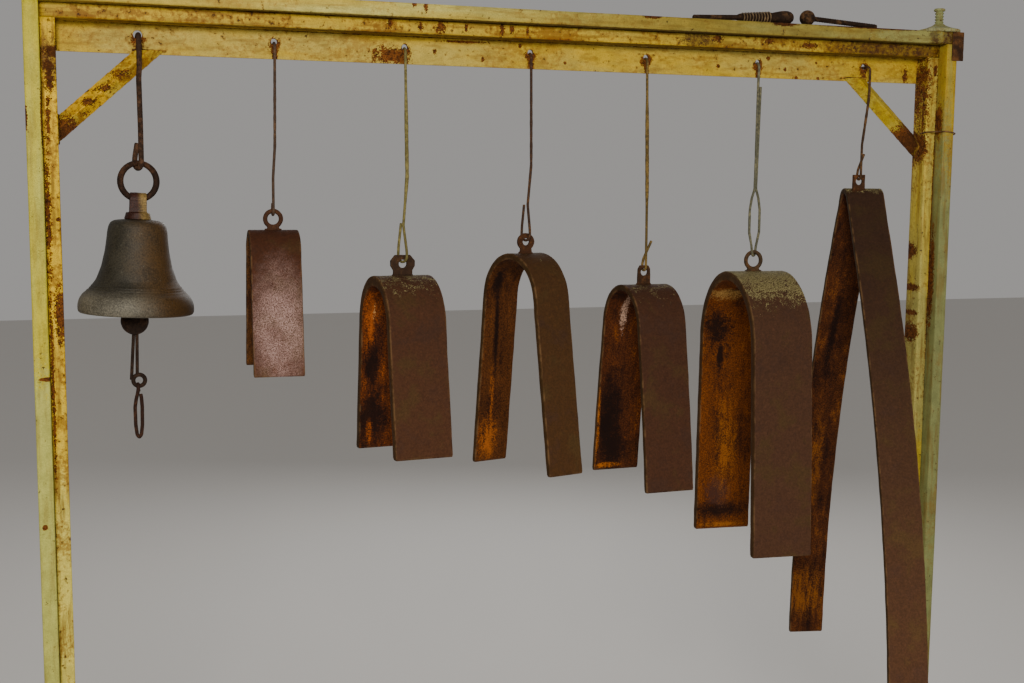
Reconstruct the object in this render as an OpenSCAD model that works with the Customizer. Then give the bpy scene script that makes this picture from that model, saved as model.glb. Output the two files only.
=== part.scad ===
// Steel bell frame: a portal of painted rectangular tube that carries one cast bell
// and six bells bent from flat steel bar, each on its own wire hook.
// Millimetres, +Z up, front is -Y. The origin is the middle of the left outer post's foot.

/* [Portal] */
// Height of the portal
frame_h = 1900; // [1750:10:2100]
// Width over the outer posts
frame_w = 1780; // [1760:10:2000]
// Front width of the outer tube
outer_w = 25; // [20:1:30]
// Depth of the outer tube
outer_d = 70; // [60:1:80]
// Front width of the inner tube
inner_w = 25; // [20:1:28]
// How far the inner tube stands back from the front
inner_back = 25; // [15:1:30]
// Wall of the tubes
wall = 2; // [1.5:0.5:4]
// Outer corner radius of the tubes
corner = 3; // [1:0.5:5]
// Height of the flat bar that the hooks hang in
bar_h = 50; // [46:1:60]
// Thickness of that flat bar
bar_t = 6; // [5:0.5:8]

/* [Braces] */
// Leg width of the corner angle
brace_leg = 25; // [20:1:28]
// Thickness of the corner angle
brace_t = 3; // [2:0.5:5]
// Slope of the corner angle
brace_slope = 42; // [38:1:46]
// Height where the angle's middle meets the post, below the portal's top
brace_drop = 229; // [200:1:260]

/* [Hooks] */
// Diameter of the wire hooks
wire_d = 5; // [4:0.5:6]
// Diameter of the rod that carries the cast bell
rod_d = 9; // [7:0.5:10]
// How far down the cast bell's ring hangs below the hooks' line
ring_drop = 233.5; // [215:0.5:250]

/* [Cast bell] */
// Diameter at the lip
lip_d = 195; // [170:1:210]
// Height of the bell from lip to shoulder
bell_h = 156; // [140:1:170]
// Wall thickness of the bell
bell_wall = 7; // [5:0.5:9]
// Diameter of the clapper's ball
ball_d = 53; // [36:1:56]
// Lean of the bell to the left on its ring
lean = 2.25; // [0:0.25:4]

/* [Bent bells] */
// Thickness of the thinner bars
bar_thin = 12; // [8:1:14]
// Thickness of the thicker bars
bar_thick = 19; // [14:1:22]

/* [Hidden] */

gap = 0.3;                              // clearance between moving pieces
x0 = -outer_w / 2;                      // outer face of the left post
y0 = -outer_d / 2;                      // front of the portal
y_in = y0 + inner_back;                 // front of the inner tube
y_back = y0 + outer_d;                  // back of the portal
bar_y = y_back - bar_t;                 // front of the hanger bar
open_l = x0 + outer_w + inner_w;        // inner faces of the posts
open_r = x0 + frame_w - outer_w - inner_w;
head_z = frame_h - outer_w;             // underside of the outer head
inner_z = head_z - inner_w;             // underside of the inner head
bar_z = inner_z - bar_h;                // underside of the hanger bar
piv_y = bar_y + bar_t / 2;              // every hook swings about this line
hook_z = bar_z + 19.5;                  // height of the hook's own centre
hook_in = 6;                            // inner radius of the hook's bend
hook_seat = 4.8;                        // the hole's lower edge lies this far above the hook's centre
function hole_r(i) = i == 0 ? 7.5 : 5.5;
ridge_y = bar_y - brace_leg / sqrt(2);  // ridge of the corner angles
first_x = x0 + 181.5;                   // hook of the cast bell
hook_pitch = (frame_w - 595) / 5;       // from one bent bell's hook to the next
function hook_x(i) = i == 0 ? first_x
    : first_x + 229.5 + (i - 1) * hook_pitch + [0, -3, 0, -2, 2, 7][i - 1];

// Bent bells: middle beside its hook, top below the hooks' line, turn, width, arch radius, thickness,
// front splay, back splay, front curve, back curve, front leg, back leg (both from the top), shift along y
bent = [
    [-5.7, 316.5, 92.8, 89, 50, bar_thin, 0.175, 0.178, 0, 0, 252, 251, 0],
    [-5.5, 400.5, 84.7, 109, 90, bar_thick, 0.151, 0.091, 0, 0.077, 320, 337, 0],
    [-4.7, 361.5, 75.5, 75, 93, bar_thin, 0.160, 0.117, 0, 0.086, 402, 420, 0],
    [6.6, 424.5, 88.2, 100, 85.5, bar_thin, 0.182, 0.164, 1.18, 0.945, 386, 391, 0],
    [10, 401.5, 95.9, 121, 146, bar_thick, 0.074, 0.033, 0.36, 0.12, 544, 565, -0.3],
    [15, 234.5, 102.7, 79, 26, bar_thin, 0.565, 0.456, 2.396, 2.206, 944, 1031, 9.3]];
function bent_x(i) = hook_x(i + 1) + bent[i][0];
function top_z(i) = hook_z - bent[i][1];

// One lug a bell: place beside its hook, height of its hole above the arch, hole radius, rim, thickness
lug = [[-5.5, 19, 9.7, 8.4, 8.4], [-4, 21, 7.5, 9, 8], [-5, 21, 6.6, 10, 8],
    [5, 24, 7, 6, 6], [4, 21.2, 12.5, 8.4, 8.4], [0, 14, 7.5, 6, 6]];
function lug_x(i) = hook_x(i + 1) + lug[i][0];
function hole_z(i) = top_z(i) + lug[i][1];
function rim_z(i) = hole_z(i) + lug[i][2] + lug[i][3] / 2;
function round_rim(i) = i == 0 || i == 4;
function eye_in(i) = (round_rim(i) ? lug[i][3] / 2 : norm([lug[i][3], lug[i][4]]) / 2) + gap;

yellow = [0.78, 0.66, 0.22];
rust = [0.42, 0.22, 0.10];
bronze = [0.33, 0.32, 0.26];

function unit(v) = v / norm(v);
function tang(p, i) = unit(p[min(i + 1, len(p) - 1)] - p[max(i - 1, 0)]);

// A round wire along a path; ref is a direction that the path never follows
module wire(p, r, ref = [1, 0, 0], n = 10) {
    m = len(p);
    pts = [for (i = [0:m - 1]) let (t = tang(p, i), u = unit(cross(ref, t)), v = cross(t, u))
        for (k = [0:n - 1]) p[i] + r * (cos(360 * k / n) * u + sin(360 * k / n) * v)];
    sides = [for (i = [0:m - 2], k = [0:n - 1]) let (j = (k + 1) % n)
        [(i + 1) * n + k, (i + 1) * n + j, i * n + j, i * n + k]];
    polyhedron(concat(pts), concat([[for (k = [0:n - 1]) k]], sides,
        [[for (k = [n - 1:-1:0]) (m - 1) * n + k]]));
}

// Half turn of the wire in the plane across the bar
function turn(x, y, z, r, a0, a1, n) =
    [for (i = [0:n]) let (a = a0 + (a1 - a0) * i / n) [x, y + r * cos(a), z + r * sin(a)]];

// Hook: short end behind the bar, over its edge, down the front, under the rim and up
function hook_path(x, xl, zl, rt, rb, up, tip) = concat(
    [[x, piv_y + rt, hook_z - 6]],
    turn(x, piv_y, hook_z, rt, 0, 180, 8),
    [[x + (xl - x) * 0.04, piv_y - rt, hook_z - (hook_z - zl) * 0.04],
     [xl, piv_y - rb, zl + (hook_z - zl) * 0.05]],
    turn(xl, piv_y, zl, rb, 180, 360, 8),
    [[xl + tip * 0.15, piv_y + rb + 0.5, zl + up * 0.3], [xl + tip, piv_y + rb + 1.5, zl + up]]);

// Doubled hook: it opens into a loop at the rim and comes back up beside itself
loop_open = 9;                          // half of the loop's width
loop_rb = 10;                           // half of its depth
loop_rz = 7.4;                          // how far its bend lies under the rim's middle
function double_path(x, xl, zl, rt) = concat(
    [[x, piv_y + rt, hook_z - 6]],
    turn(x, piv_y, hook_z, rt, 0, 180, 8),
    [[x - 1, piv_y - rt, hook_z - 40], [xl - 3.2, piv_y - 3, zl + 92],
     [xl - loop_open, piv_y - loop_rb, zl + 14]],
    [for (a = [180:22.5:360]) [xl + loop_open * cos(a), piv_y + loop_rb * cos(a), zl + loop_rz * sin(a)]],
    [[xl + loop_open, piv_y + loop_rb, zl + 14], [xl + 3.2, piv_y + 3, zl + 92],
     [x + 5, piv_y - rt + 1, bar_z - 18]]);

// The same hook carried forward past a corner angle
function far_path(x, xl, zl, rt, rb, up, tip, r) = let (yf = ridge_y - 3 - r) concat(
    [[x, piv_y + rt, hook_z - 6]],
    turn(x, piv_y, hook_z, rt, 0, 90, 4),
    turn(x, yf + 9, hook_z + rt - 9, 9, 90, 180, 4),
    [[x, yf, hook_z - 45], [x + (xl - x) * 0.3, yf + 2, hook_z - 62],
     [xl, piv_y - rb, zl + (hook_z - zl) * 0.3]],
    turn(xl, piv_y, zl, rb, 180, 360, 8),
    [[xl + tip * 0.15, piv_y + rb + 0.5, zl + up * 0.3], [xl + tip, piv_y + rb + 1.5, zl + up]]);

module hook(i, up, tip) {
    rt = hook_in + wire_d / 2;
    rb = eye_in(i - 1) + wire_d / 2;
    xl = lug_x(i - 1);
    zl = rim_z(i - 1);
    color(rust) wire(i == 5 ? double_path(hook_x(i), xl, zl, rt)
        : i == 6 ? far_path(hook_x(i), xl, zl, rt, rb, up, tip, wire_d / 2)
        : hook_path(hook_x(i), xl, zl, rt, rb, up, tip), wire_d / 2);
}

// Rectangle with round corners, its lower left corner at the origin
function rounded(w, d, r) = [for (c = [[w - r, r, -90], [w - r, d - r, 0], [r, d - r, 90], [r, r, 180]],
    a = [0:22.5:90]) [c[0] + r * cos(c[2] + a), c[1] + r * sin(c[2] + a)]];
module full_section(w, d) { polygon(rounded(w, d, corner)); }
module bore_section(w, d) {
    translate([wall, wall]) polygon(rounded(w - 2 * wall, d - 2 * wall, max(corner - wall, 0.5)));
}

// Rectangular tube that stands on its foot, open into its neighbour at the top, closed at the foot
module tube(w, d, h) {
    difference() {
        linear_extrude(h) full_section(w, d);
        translate([0, 0, wall]) linear_extrude(h) bore_section(w, d);
    }
}
module post_outer() { color(yellow) translate([x0, y0, 0]) tube(outer_w, outer_d, head_z); }
module post_inner() {
    color(yellow) translate([x0 + outer_w, y_in, 0]) tube(inner_w, outer_d - inner_back, inner_z);
}
module post_left_outer() { post_outer(); }
module post_left_inner() { post_inner(); }
module mirrored() { translate([2 * x0 + frame_w, 0, 0]) mirror([1, 0, 0]) children(); }
module post_right_outer() { mirrored() post_outer(); }
module post_right_inner() { mirrored() post_inner(); }

// The head's tubes lie across the posts and are open at their ends
module lying_tube(len, d, h) {
    rotate([90, 0, 90]) linear_extrude(len) difference() {
        full_section(d, h);
        bore_section(d, h);
    }
}
module head_outer() { color(yellow) translate([x0, y0, head_z]) lying_tube(frame_w, outer_d, outer_w); }
module head_inner() {
    color(yellow) translate([x0 + outer_w, y_in, inner_z])
        lying_tube(frame_w - 2 * outer_w, outer_d - inner_back, inner_w);
}
module hanger_bar() {
    color(yellow) difference() {
        translate([open_l, bar_y, bar_z]) cube([open_r - open_l, bar_t, bar_h]);
        for (i = [0:6]) translate([hook_x(i), bar_y - 1, hook_z + hook_seat + hole_r(i)])
            rotate([-90, 0, 0]) cylinder(h = bar_t + 2, r = hole_r(i), $fn = 32);
    }
}

// Corner angle with its ridge to the front, cut off against the post and along the bar
module brace() {
    run = brace_leg / sqrt(2);
    t = brace_t * sqrt(2);
    len = 330;
    intersection() {
        translate([open_l, 0, frame_h - brace_drop]) rotate([0, -brace_slope, 0])
            translate([-80, bar_y, 0]) rotate([90, 0, 90]) linear_extrude(len)
                polygon([[0, run], [-run, 0], [0, -run], [0, -run + t], [t - run, 0], [0, run - t]]);
        translate([open_l, y0, 0]) cube([400, outer_d, bar_z + 6]);
    }
}
module brace_left() { color(yellow) brace(); }
module brace_right() { color(yellow) mirrored() brace(); }

// Rusted plate over the right corner's outer edge
module corner_plate() {
    color(rust) translate([x0 + frame_w - 15, y0 - 3, frame_h - 58]) cube([27, 3, 58 - gap]);
}

// Fluted cap with a ribbed stem on the right post
module post_knob() {
    color([0.6, 0.6, 0.5]) translate([x0 + frame_w - 21, y0 + outer_d / 2 + 4, frame_h]) {
        difference() {
            cylinder(h = 20, r1 = 46, r2 = 18, $fn = 40);
            for (a = [0:20:340]) rotate([0, 0, a]) translate([46, 0, -1]) cylinder(h = 12, r = 3, $fn = 12);
        }
        translate([0, 0, 20]) rotate_extrude($fn = 32)
            polygon([[0, 0], [16, 0], [14, 4], [16, 8], [14, 12], [16, 16], [14, 20], [16, 24],
                [12, 30], [0, 30]]);
    }
}

// Loop of wire round the right post
module tie_wire() {
    r = 1.5;
    xl = open_r - r - gap; xr = x0 + frame_w + r + gap; ys = y0 - r - gap; ye = y_back + r + gap;
    xo = x0 + frame_w - outer_w; z = frame_h - 200;
    color(rust) wire([[xl, y_in + 14, z - 2], [xl, y_in - r - gap, z], [xo - r - gap, y0 + 7, z + 1],
        [xo - r - gap, ys, z + 1], [xo + 6, ys, z + 1], [xr - 6, ys, z - 1], [xr, ys, z - 3],
        [xr, ys + 6, z - 5], [xr, ye - 6, z - 9], [xr, ye, z - 14], [xr + 3, ye + 2, z - 34]],
        r, [0, 0, 1], 8);
}

// Two spare beaters lie on the head
beat_y = y0 + 30;
module beater_left() {
    color(rust) translate([x0 + frame_w - 580, beat_y, frame_h + 5 + gap]) rotate([0, 90 - asin(8 / 190), 0])
        rotate_extrude($fn = 24)
        polygon([[0, 0], [5, 0], [5, 95], [8, 100], [7, 120], [9, 150], [13, 190], [13, 205],
            [8, 214], [0, 216]]);
}
module beater_right() {
    color(rust) translate([x0 + frame_w - 332, beat_y, frame_h + 15 + gap])
        rotate([0, 90 + asin(10 / 158), 0]) rotate_extrude($fn = 28)
        polygon(concat([[0, -15]], [for (a = [-75:15:60]) 15 * [cos(a), sin(a)]],
            [[5, 14.2], [5, 158], [0, 158]]));
}

// Rod of the cast bell
ring_z = hook_z - ring_drop;            // middle of the ring
ring_R = 31;                            // radius to the middle of the ring's wire
ring_r = 4.5;
ring_x = x0 + 177.2;
module bell_rod() {
    rb = ring_r + gap + rod_d / 2;
    rt = hook_in + rod_d / 2;
    color(rust) wire(far_path(hook_x(0), ring_x, ring_z + ring_R, rt, rb, 45, -8, rod_d / 2), rod_d / 2);
}
module bell_ring() {
    color(rust) translate([ring_x, piv_y, ring_z]) rotate([90, 0, 0])
        rotate_extrude($fn = 40) translate([ring_R, 0]) circle(r = ring_r, $fn = 16);
}

// Cast bell: a revolved shell and its crown, leaning about the ring's centre
crown_z = ring_z - ring_R;              // the ring's wire passes here
shoulder_z = ring_z - 71;
module leaning() {
    translate([ring_x, piv_y, ring_z]) rotate([0, lean, 0]) translate([0, 0, -ring_z]) children();
}
kz = bell_h / 156;                      // the bell's profile is drawn 156 high
function bell_out() = [[22, 6], [38, 4], [46, 0], [50.5, -8 * kz], [53, -25 * kz], [56.5, -50 * kz],
    [61, -75 * kz], [67, -95 * kz], [74, -110 * kz], [77, -114 * kz], [79.5, -116 * kz], [80, -119 * kz],
    [88, -132 * kz], [95, -141 * kz], [97.5, -146 * kz], [97.5, 3 - bell_h], [95, -bell_h]];
function bell_in() = [[91, -bell_h], [84, -134 * kz], [73, -115 * kz], [60, -95 * kz], [54, -75 * kz],
    [49, -50 * kz], [45, -25 * kz], [42, -10 * kz]];
module bell_shell() {
    k = lip_d / 195;
    out = [for (p = bell_out()) [p[0] * k, p[1]]];
    inn = [for (p = bell_in()) [p[0] * k + 7 - bell_wall, p[1]]];
    color(bronze) leaning() translate([0, 0, shoulder_z]) rotate_extrude($fn = 60)
        polygon(concat([[0, 6]], out, inn, [[36 * k, -3], [0, -3]]));
}
crown_w = 28;
crown_r = 12;
crown_foot = shoulder_z + 12;
module bell_crown() {
    w = crown_w / 2;
    color(bronze) leaning() difference() {
        union() {
            translate([-w, 0, crown_z]) rotate([0, 90, 0]) cylinder(h = crown_w, r = crown_r, $fn = 36);
            translate([-w, -crown_r, crown_foot]) cube([crown_w, 2 * crown_r, crown_z - crown_foot]);
            translate([0, 0, shoulder_z + 6]) cylinder(h = 12, r1 = 22, r2 = 19, $fn = 36);
        }
        translate([0, 0, crown_z]) rotate([0, 90, 0]) rotate_extrude($fn = 36)
            polygon(concat([[0, -w - 1]], [for (x = [-w - 1:2:w + 1])
                let (c = sqrt(ring_R * ring_R - x * x)) [(ring_r + gap) * ring_R / c + ring_R - c, x]],
                [[0, w + 1]]));
    }
}

// Staple inside the bell: two cheeks and the pin that the clapper hangs on
clap_z = ring_z - 90;
pin_r = 3.6;
module bell_staple() {
    color(rust) leaning() {
        for (s = [-1, 1])
            translate([s * 8.5 - 2, -5, clap_z - 7]) cube([4, 10, shoulder_z - 3 - clap_z + 7]);
        translate([-8, 0, clap_z]) rotate([0, 90, 0]) cylinder(h = 16, r = pin_r, $fn = 24);
    }
}

// Clapper: an eye on the pin, a rod, a ball, two strands and a pull eye
ball_x = ring_x - 11.7;                 // middle of the ball
ball_z = ring_z - 238;
eye_x = ring_x - 8.7;                   // middle of the pull eye
eye_z = ring_z - 345;
eye_R = 11.3;
eye_r = 3.6;
strand_r = 2.8;
pin = [ring_x - (ring_z - clap_z) * sin(lean), ring_z - (ring_z - clap_z) * cos(lean)];
module bar_to(a, b, r) {
    d = b - a;
    translate([a[0], piv_y, a[1]]) rotate([0, atan2(d[0], d[1]), 0]) cylinder(h = norm(d), r = r, $fn = 20);
}
module clapper() {
    ball = [ball_x, ball_z];
    color(rust) {
        leaning() translate([0, 0, clap_z]) rotate([0, 90, 0]) difference() {
            cylinder(h = 10, r = 9, center = true, $fn = 28);
            cylinder(h = 12, r = pin_r + gap, center = true, $fn = 28);
        }
        bar_to(pin + 7 * unit(ball - pin), ball, 4.5);
        translate([ball_x, piv_y, ball_z]) sphere(r = ball_d / 2, $fn = 28);
        bar_to([ball_x - strand_r, ball_z], [eye_x - eye_R + 0.4, eye_z + 3], strand_r);
        bar_to([ball_x + strand_r, ball_z], [eye_x - 1, eye_z + eye_R - 0.4], strand_r);
        translate([eye_x, piv_y, eye_z]) rotate([90, 0, 0]) rotate_extrude($fn = 28)
            translate([eye_R, 0]) circle(r = eye_r, $fn = 16);
    }
}
module pull_link() {
    z = eye_z - eye_R;
    rb = eye_r + gap + 2.5;
    color(rust) translate([eye_x, piv_y, 0]) {
        wire(concat([[1.2, rb - 0.6, z - 8]], turn(0, 0, z, rb, 0, 180, 8),
            [[-1.2, -rb + 0.6, z - 8], [-4, -3, z - 20], [-5.5, 0, z - 32], [-6, 0, z - 78],
             [-4.2, 0, z - 84], [0, 0, z - 87], [4.2, 0, z - 84], [6, 0, z - 78], [5.5, 0, z - 32],
             [4.2, 2.6, z - 19], [2.8, 4.6, z - 14]]), 2.5, [1, 1, 0] / sqrt(2));
    }
}

// Bent bells: a flat bar carried over an arch into two spread legs, the front one longer
function leg(R, k, c, h) = R + k * h - c * 1e-4 * h * h;
function side(R, k, c, drop, n) = [for (i = [1:n]) let (h = drop * i / n) [leg(R, k, c, h), -h]];
module bent_bell(i) {
    b = bent[i];
    R = b[4]; t = b[5]; n = b[9] == 0 ? 1 : 14;
    ff = atan(b[6]); fb = atan(b[7]);
    arch = function(r, a, s) [for (q = [0:s]) let (w = a[0] + (a[1] - a[0]) * q / s)
        [r * cos(w), r * sin(w)]];
    fo = side(R, b[6], b[8], b[10] - R, n);
    bo = side(R, b[7], b[9], b[11] - R, n);
    fi = [for (p = fo) p - t * [1, 0]];
    bi = [for (p = bo) p - t * [1, 0]];
    color(rust) translate([bent_x(i), piv_y + b[12], top_z(i) - R]) rotate([0, 0, -b[2]])
        rotate([90, 0, 0]) translate([0, 0, -b[3] / 2]) linear_extrude(b[3])
            polygon(concat(
                [for (q = [len(fo) - 1:-1:0]) fo[q]], arch(R, [ff, 180 - fb], 36),
                [for (p = bo) [-p[0], p[1]]],
                [for (q = [len(bi) - 1:-1:0]) [-bi[q][0], bi[q][1]]], arch(R - t, [180 - fb, ff], 36), fi));
}
module bent_bell_1() { bent_bell(0); }
module bent_bell_2() { bent_bell(1); }
module bent_bell_3() { bent_bell(2); }
module bent_bell_4() { bent_bell(3); }
module bent_bell_5() { bent_bell(4); }
module bent_bell_6() { bent_bell(5); }

// Lugs: a bent ring, a nut-like plate, a thick washer or a narrow tab, standing on the arch
function seat(i) = 0.2 - lug[i][1];
module ring_lug(i, foot) {
    l = lug[i];
    R = l[2] + l[3] / 2;
    translate([lug_x(i), piv_y, hole_z(i)]) rotate([90, 0, 0]) {
        rotate_extrude($fn = 32) translate([R, 0]) circle(r = l[3] / 2, $fn = 16);
        translate([0, 0, -l[4] / 2 + 0.2]) linear_extrude(l[4] - 0.4)
            polygon([[-foot, seat(i)], [foot, seat(i)], [R * 0.55, -R * 0.84], [-R * 0.55, -R * 0.84]]);
    }
}
module plate_lug(i, outline) {
    l = lug[i];
    translate([lug_x(i), piv_y + l[4] / 2, hole_z(i)]) rotate([90, 0, 0])
        linear_extrude(l[4]) difference() {
            polygon(outline);
            circle(r = l[2], $fn = 28);
        }
}
module lug_1() { color(rust) ring_lug(0, 13); }
module lug_2() {
    b = seat(1);
    color(rust) plate_lug(1, [[-18, b], [18, b], [18, -12], [23, -4], [23, 6], [14, 16.5],
        [-14, 16.5], [-23, 6], [-23, -4], [-18, -12]]);
}
module lug_3() {
    l = lug[2]; b = seat(2); R = l[2] + l[3];
    color(rust) plate_lug(2, concat([[-12, b], [12, b]], [for (a = [-50:10:230]) R * [cos(a), sin(a)]]));
}
module lug_4() {
    b = seat(3);
    color(rust) plate_lug(3, [[-14, b], [14, b], [13, 6], [9, 13], [-9, 13], [-13, 6]]);
}
module lug_5() { color(rust) ring_lug(4, 16); }
module lug_6() {
    b = seat(5) - 14;
    d = bent[5];
    color(rust) difference() {
        plate_lug(5, [[-14, b], [14, b], [14, 13.5], [-14, 13.5]]);
        translate([bent_x(5), piv_y + d[12], top_z(5) - d[4]]) rotate([0, 0, -d[2]]) rotate([90, 0, 0])
            cylinder(h = 2 * d[3], r = d[4] + 0.2, center = true, $fn = 96);
    }
}
module wire_hook_1() { hook(1, 45, 6); }
module wire_hook_2() { hook(2, 38, -5); }
module wire_hook_3() { hook(3, 60, -7); }
module wire_hook_4() { hook(4, 40, 9); }
module wire_hook_5() { hook(5, 50, 10); }
module wire_hook_6() { hook(6, 45, 16); }

post_left_outer();
post_left_inner();
post_right_outer();
post_right_inner();
head_outer();
head_inner();
hanger_bar();
brace_left();
brace_right();
corner_plate();
post_knob();
tie_wire();
beater_left();
beater_right();
bell_rod();
bell_ring();
bell_shell();
bell_crown();
bell_staple();
clapper();
pull_link();
wire_hook_1();
wire_hook_2();
wire_hook_3();
wire_hook_4();
wire_hook_5();
wire_hook_6();
bent_bell_1();
bent_bell_2();
bent_bell_3();
bent_bell_4();
bent_bell_5();
bent_bell_6();
lug_1();
lug_2();
lug_3();
lug_4();
lug_5();
lug_6();
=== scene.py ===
"""Looks for the steel bell frame: paint, rust, wires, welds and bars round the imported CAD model.

Lengths in the tables and in the mesh helpers are millimetres in the CAD's own frame: the origin is
the middle of the left outer post's foot, the front is -Y and +Z is up. A mesh is made in metres.
"""
from collections import namedtuple
from math import asin, atan, copysign, cos, dist, exp, pi, radians, sin, sqrt

import bmesh
import bpy
from mathutils import Matrix, Vector, noise


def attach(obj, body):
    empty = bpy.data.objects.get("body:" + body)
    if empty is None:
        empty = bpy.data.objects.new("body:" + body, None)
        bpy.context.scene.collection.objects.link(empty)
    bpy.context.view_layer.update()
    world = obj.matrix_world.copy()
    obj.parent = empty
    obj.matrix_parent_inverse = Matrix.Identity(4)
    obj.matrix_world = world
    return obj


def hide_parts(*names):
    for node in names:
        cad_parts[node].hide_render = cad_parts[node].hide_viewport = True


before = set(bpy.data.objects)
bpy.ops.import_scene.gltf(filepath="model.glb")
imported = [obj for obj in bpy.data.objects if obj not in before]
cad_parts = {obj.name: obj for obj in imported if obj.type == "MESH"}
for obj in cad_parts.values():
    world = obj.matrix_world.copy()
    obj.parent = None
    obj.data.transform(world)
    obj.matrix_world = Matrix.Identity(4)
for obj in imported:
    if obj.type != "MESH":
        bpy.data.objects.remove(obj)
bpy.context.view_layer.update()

MM = 0.001
TAU = 2 * pi

# Places that repeat the CAD model's named values
LEFT, FRONT = -12.5, -35.0                         # the portal's left and front faces
FRAME_W, FRAME_H = 1780.0, 1900.0
TUBE, TUBE_D, WALL, CORNER = 25.0, 70.0, 2.0, 3.0  # a tube's front, depth, wall and outer round
INNER_BACK = 25.0                                  # the inner tubes stand this far behind the outer ones
RIGHT, INNER_Y, BACK_Y = LEFT + FRAME_W, FRONT + INNER_BACK, FRONT + TUBE_D
HEAD_Z, INNER_Z, BAR_Z = FRAME_H - TUBE, FRAME_H - 2 * TUBE, FRAME_H - 2 * TUBE - 50
OPEN_L, OPEN_R = LEFT + 2 * TUBE, RIGHT - 2 * TUBE
BAR_Y, PIVOT_Y = BACK_Y - 6, BACK_Y - 3
RIDGE_Y, BRACE_Z = BAR_Y - 17.7, FRAME_H - 229     # a corner angle's ridge, and its height at the post
HOOK_Z, HOOK_IN, WIRE_R, ROD_R, GAP = BAR_Z + 19.5, 6.0, 2.5, 4.5, 0.3
HOOK_X = [LEFT + x for x in (181.5, 411, 645, 885, 1120, 1361, 1603)]
RING_X, RING_Z, RING_R, RING_WIRE, LEAN = LEFT + 177.2, HOOK_Z - 233.5, 31.0, 4.5, radians(2.25)
SHOULDER_Z, CLAP_Z = RING_Z - 71, RING_Z - 90
BALL_X, BALL_Z, BALL_R = RING_X - 11.7, RING_Z - 238, 26.5
EYE_X, EYE_Z, EYE_R, EYE_WIRE = RING_X - 8.7, RING_Z - 345, 11.3, 3.6
BEATER_Y = FRONT + 30

# Bent bells: middle x from the portal's left face, top z, turn, width, arch radius and thickness, then
# for the front and the back leg the splay, the curve and the end's z, and last the shift along y
Bell = namedtuple("Bell", "middle top turn width radius thick splay_f splay_b curve_f curve_b end_f end_b"
                  " shift")
BENT = [
    Bell(405.3, 1503, 92.8, 89, 50, 12, 0.175, 0.178, 0, 0, 1251, 1252, 0),
    Bell(639.5, 1419, 84.7, 109, 90, 19, 0.151, 0.091, 0, 0.077, 1099, 1082, 0),
    Bell(880.3, 1458, 75.5, 75, 93, 12, 0.160, 0.117, 0, 0.086, 1056, 1038, 0),
    Bell(1126.6, 1395, 88.2, 100, 85.5, 12, 0.182, 0.164, 1.18, 0.945, 1009, 1004, 0),
    Bell(1371, 1418, 95.9, 121, 146, 19, 0.074, 0.033, 0.36, 0.12, 874, 853, -0.3),
    Bell(1618, 1585, 102.7, 79, 26, 12, 0.565, 0.456, 2.396, 2.206, 641, 554, 9.3)]
# Their lugs: x from the same face, top of the rim, reach of the wire round the rim, and the foot's
# half width and half depth
Lug = namedtuple("Lug", "x rim reach half deep")
LUGS = [
    Lug(405.5, 1535.9, 4.5, 13, 4.2), Lug(641, 1452, 6.32, 18, 4), Lug(880, 1490.6, 6.7, 12, 5),
    Lug(1125, 1429, 4.54, 14, 3), Lug(1365, 1455.9, 4.5, 16, 4.2), Lug(1603, 1609.5, 4.54, 14, 3)]

# Tints in linear light: films, stains with painted shade, and rust on the paint, shades of the bent bars,
# bronze and scale
GRIME, MOTTLE, STAIN_AND_SHADE = (0.15, 0.070, 0.004), (0.19, 0.075, 0.003), (0.045, 0.015, 0.003)
RUST_HALO, RUST_PIT = (0.26, 0.085, 0.004), (0.03, 0.009, 0.002)
NEAR_BLACK, HAZE, POWDER = (0.007, 0.002, 0.001), (0.045, 0.017, 0.011), (0.36, 0.23, 0.20)
OLIVE, PLUM = (0.050, 0.029, 0.008), (0.034, 0.016, 0.010)
SIDE_SKIN, BARE_EDGE = (0.032, 0.017, 0.004), (0.17, 0.09, 0.035)
BRONZE_SPECK = (0.18, 0.17, 0.13)
BLACK_SCALE, DEEP_SCALE = (0.010, 0.0025, 0.001), (0.020, 0.005, 0.001)


def add_object(name, data):
    made = bpy.data.objects.new(name, data)
    bpy.context.scene.collection.objects.link(made)
    return made


# Camera, floor and light
def set_camera():
    """The camera stands where the photograph's did, found from the portal's straight edges."""
    yaw, pitch, roll = (radians(a) for a in (18.754, 6.638, 0.471))
    ahead = Vector((sin(yaw) * cos(pitch), cos(yaw) * cos(pitch), -sin(pitch)))
    level = Vector((cos(yaw), -sin(yaw), 0))
    plumb = level.cross(ahead)
    right = level * cos(roll) + plumb * sin(roll)
    up = plumb * cos(roll) - level * sin(roll)
    data = bpy.data.cameras.new("photo_camera")
    data.sensor_width, data.lens = 36.0, 46.654
    camera = add_object("photo_camera", data)
    place = Matrix((right, up, -ahead)).transposed().to_4x4()
    place.translation = Vector((37.0, -2338.8, 1581.4)) * MM
    camera.matrix_world = place
    bpy.context.scene.camera = camera


def lay_floor():
    low, high = -12, 14
    mesh = bpy.data.meshes.new("floor")
    mesh.from_pydata([(low, low, 0), (high, low, 0), (high, high, 0), (low, high, 0)], [], [(0, 1, 2, 3)])
    pale = bpy.data.materials.new("pale_floor")
    pale.use_nodes = True
    shader = pale.node_tree.nodes["Principled BSDF"]
    shader.inputs["Base Color"].default_value = (0.62, 0.60, 0.57, 1)
    shader.inputs["Roughness"].default_value = 0.9
    mesh.materials.append(pale)
    add_object("floor", mesh)


def hang_light(name, place, target, size, watts, tint):
    data = bpy.data.lights.new(name, "AREA")
    data.shape, data.size, data.energy, data.color = "DISK", size, watts, tint
    light = add_object(name, data)
    light.location = place
    light.rotation_euler = (Vector(target) - Vector(place)).to_track_quat("-Z", "Y").to_euler()


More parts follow.
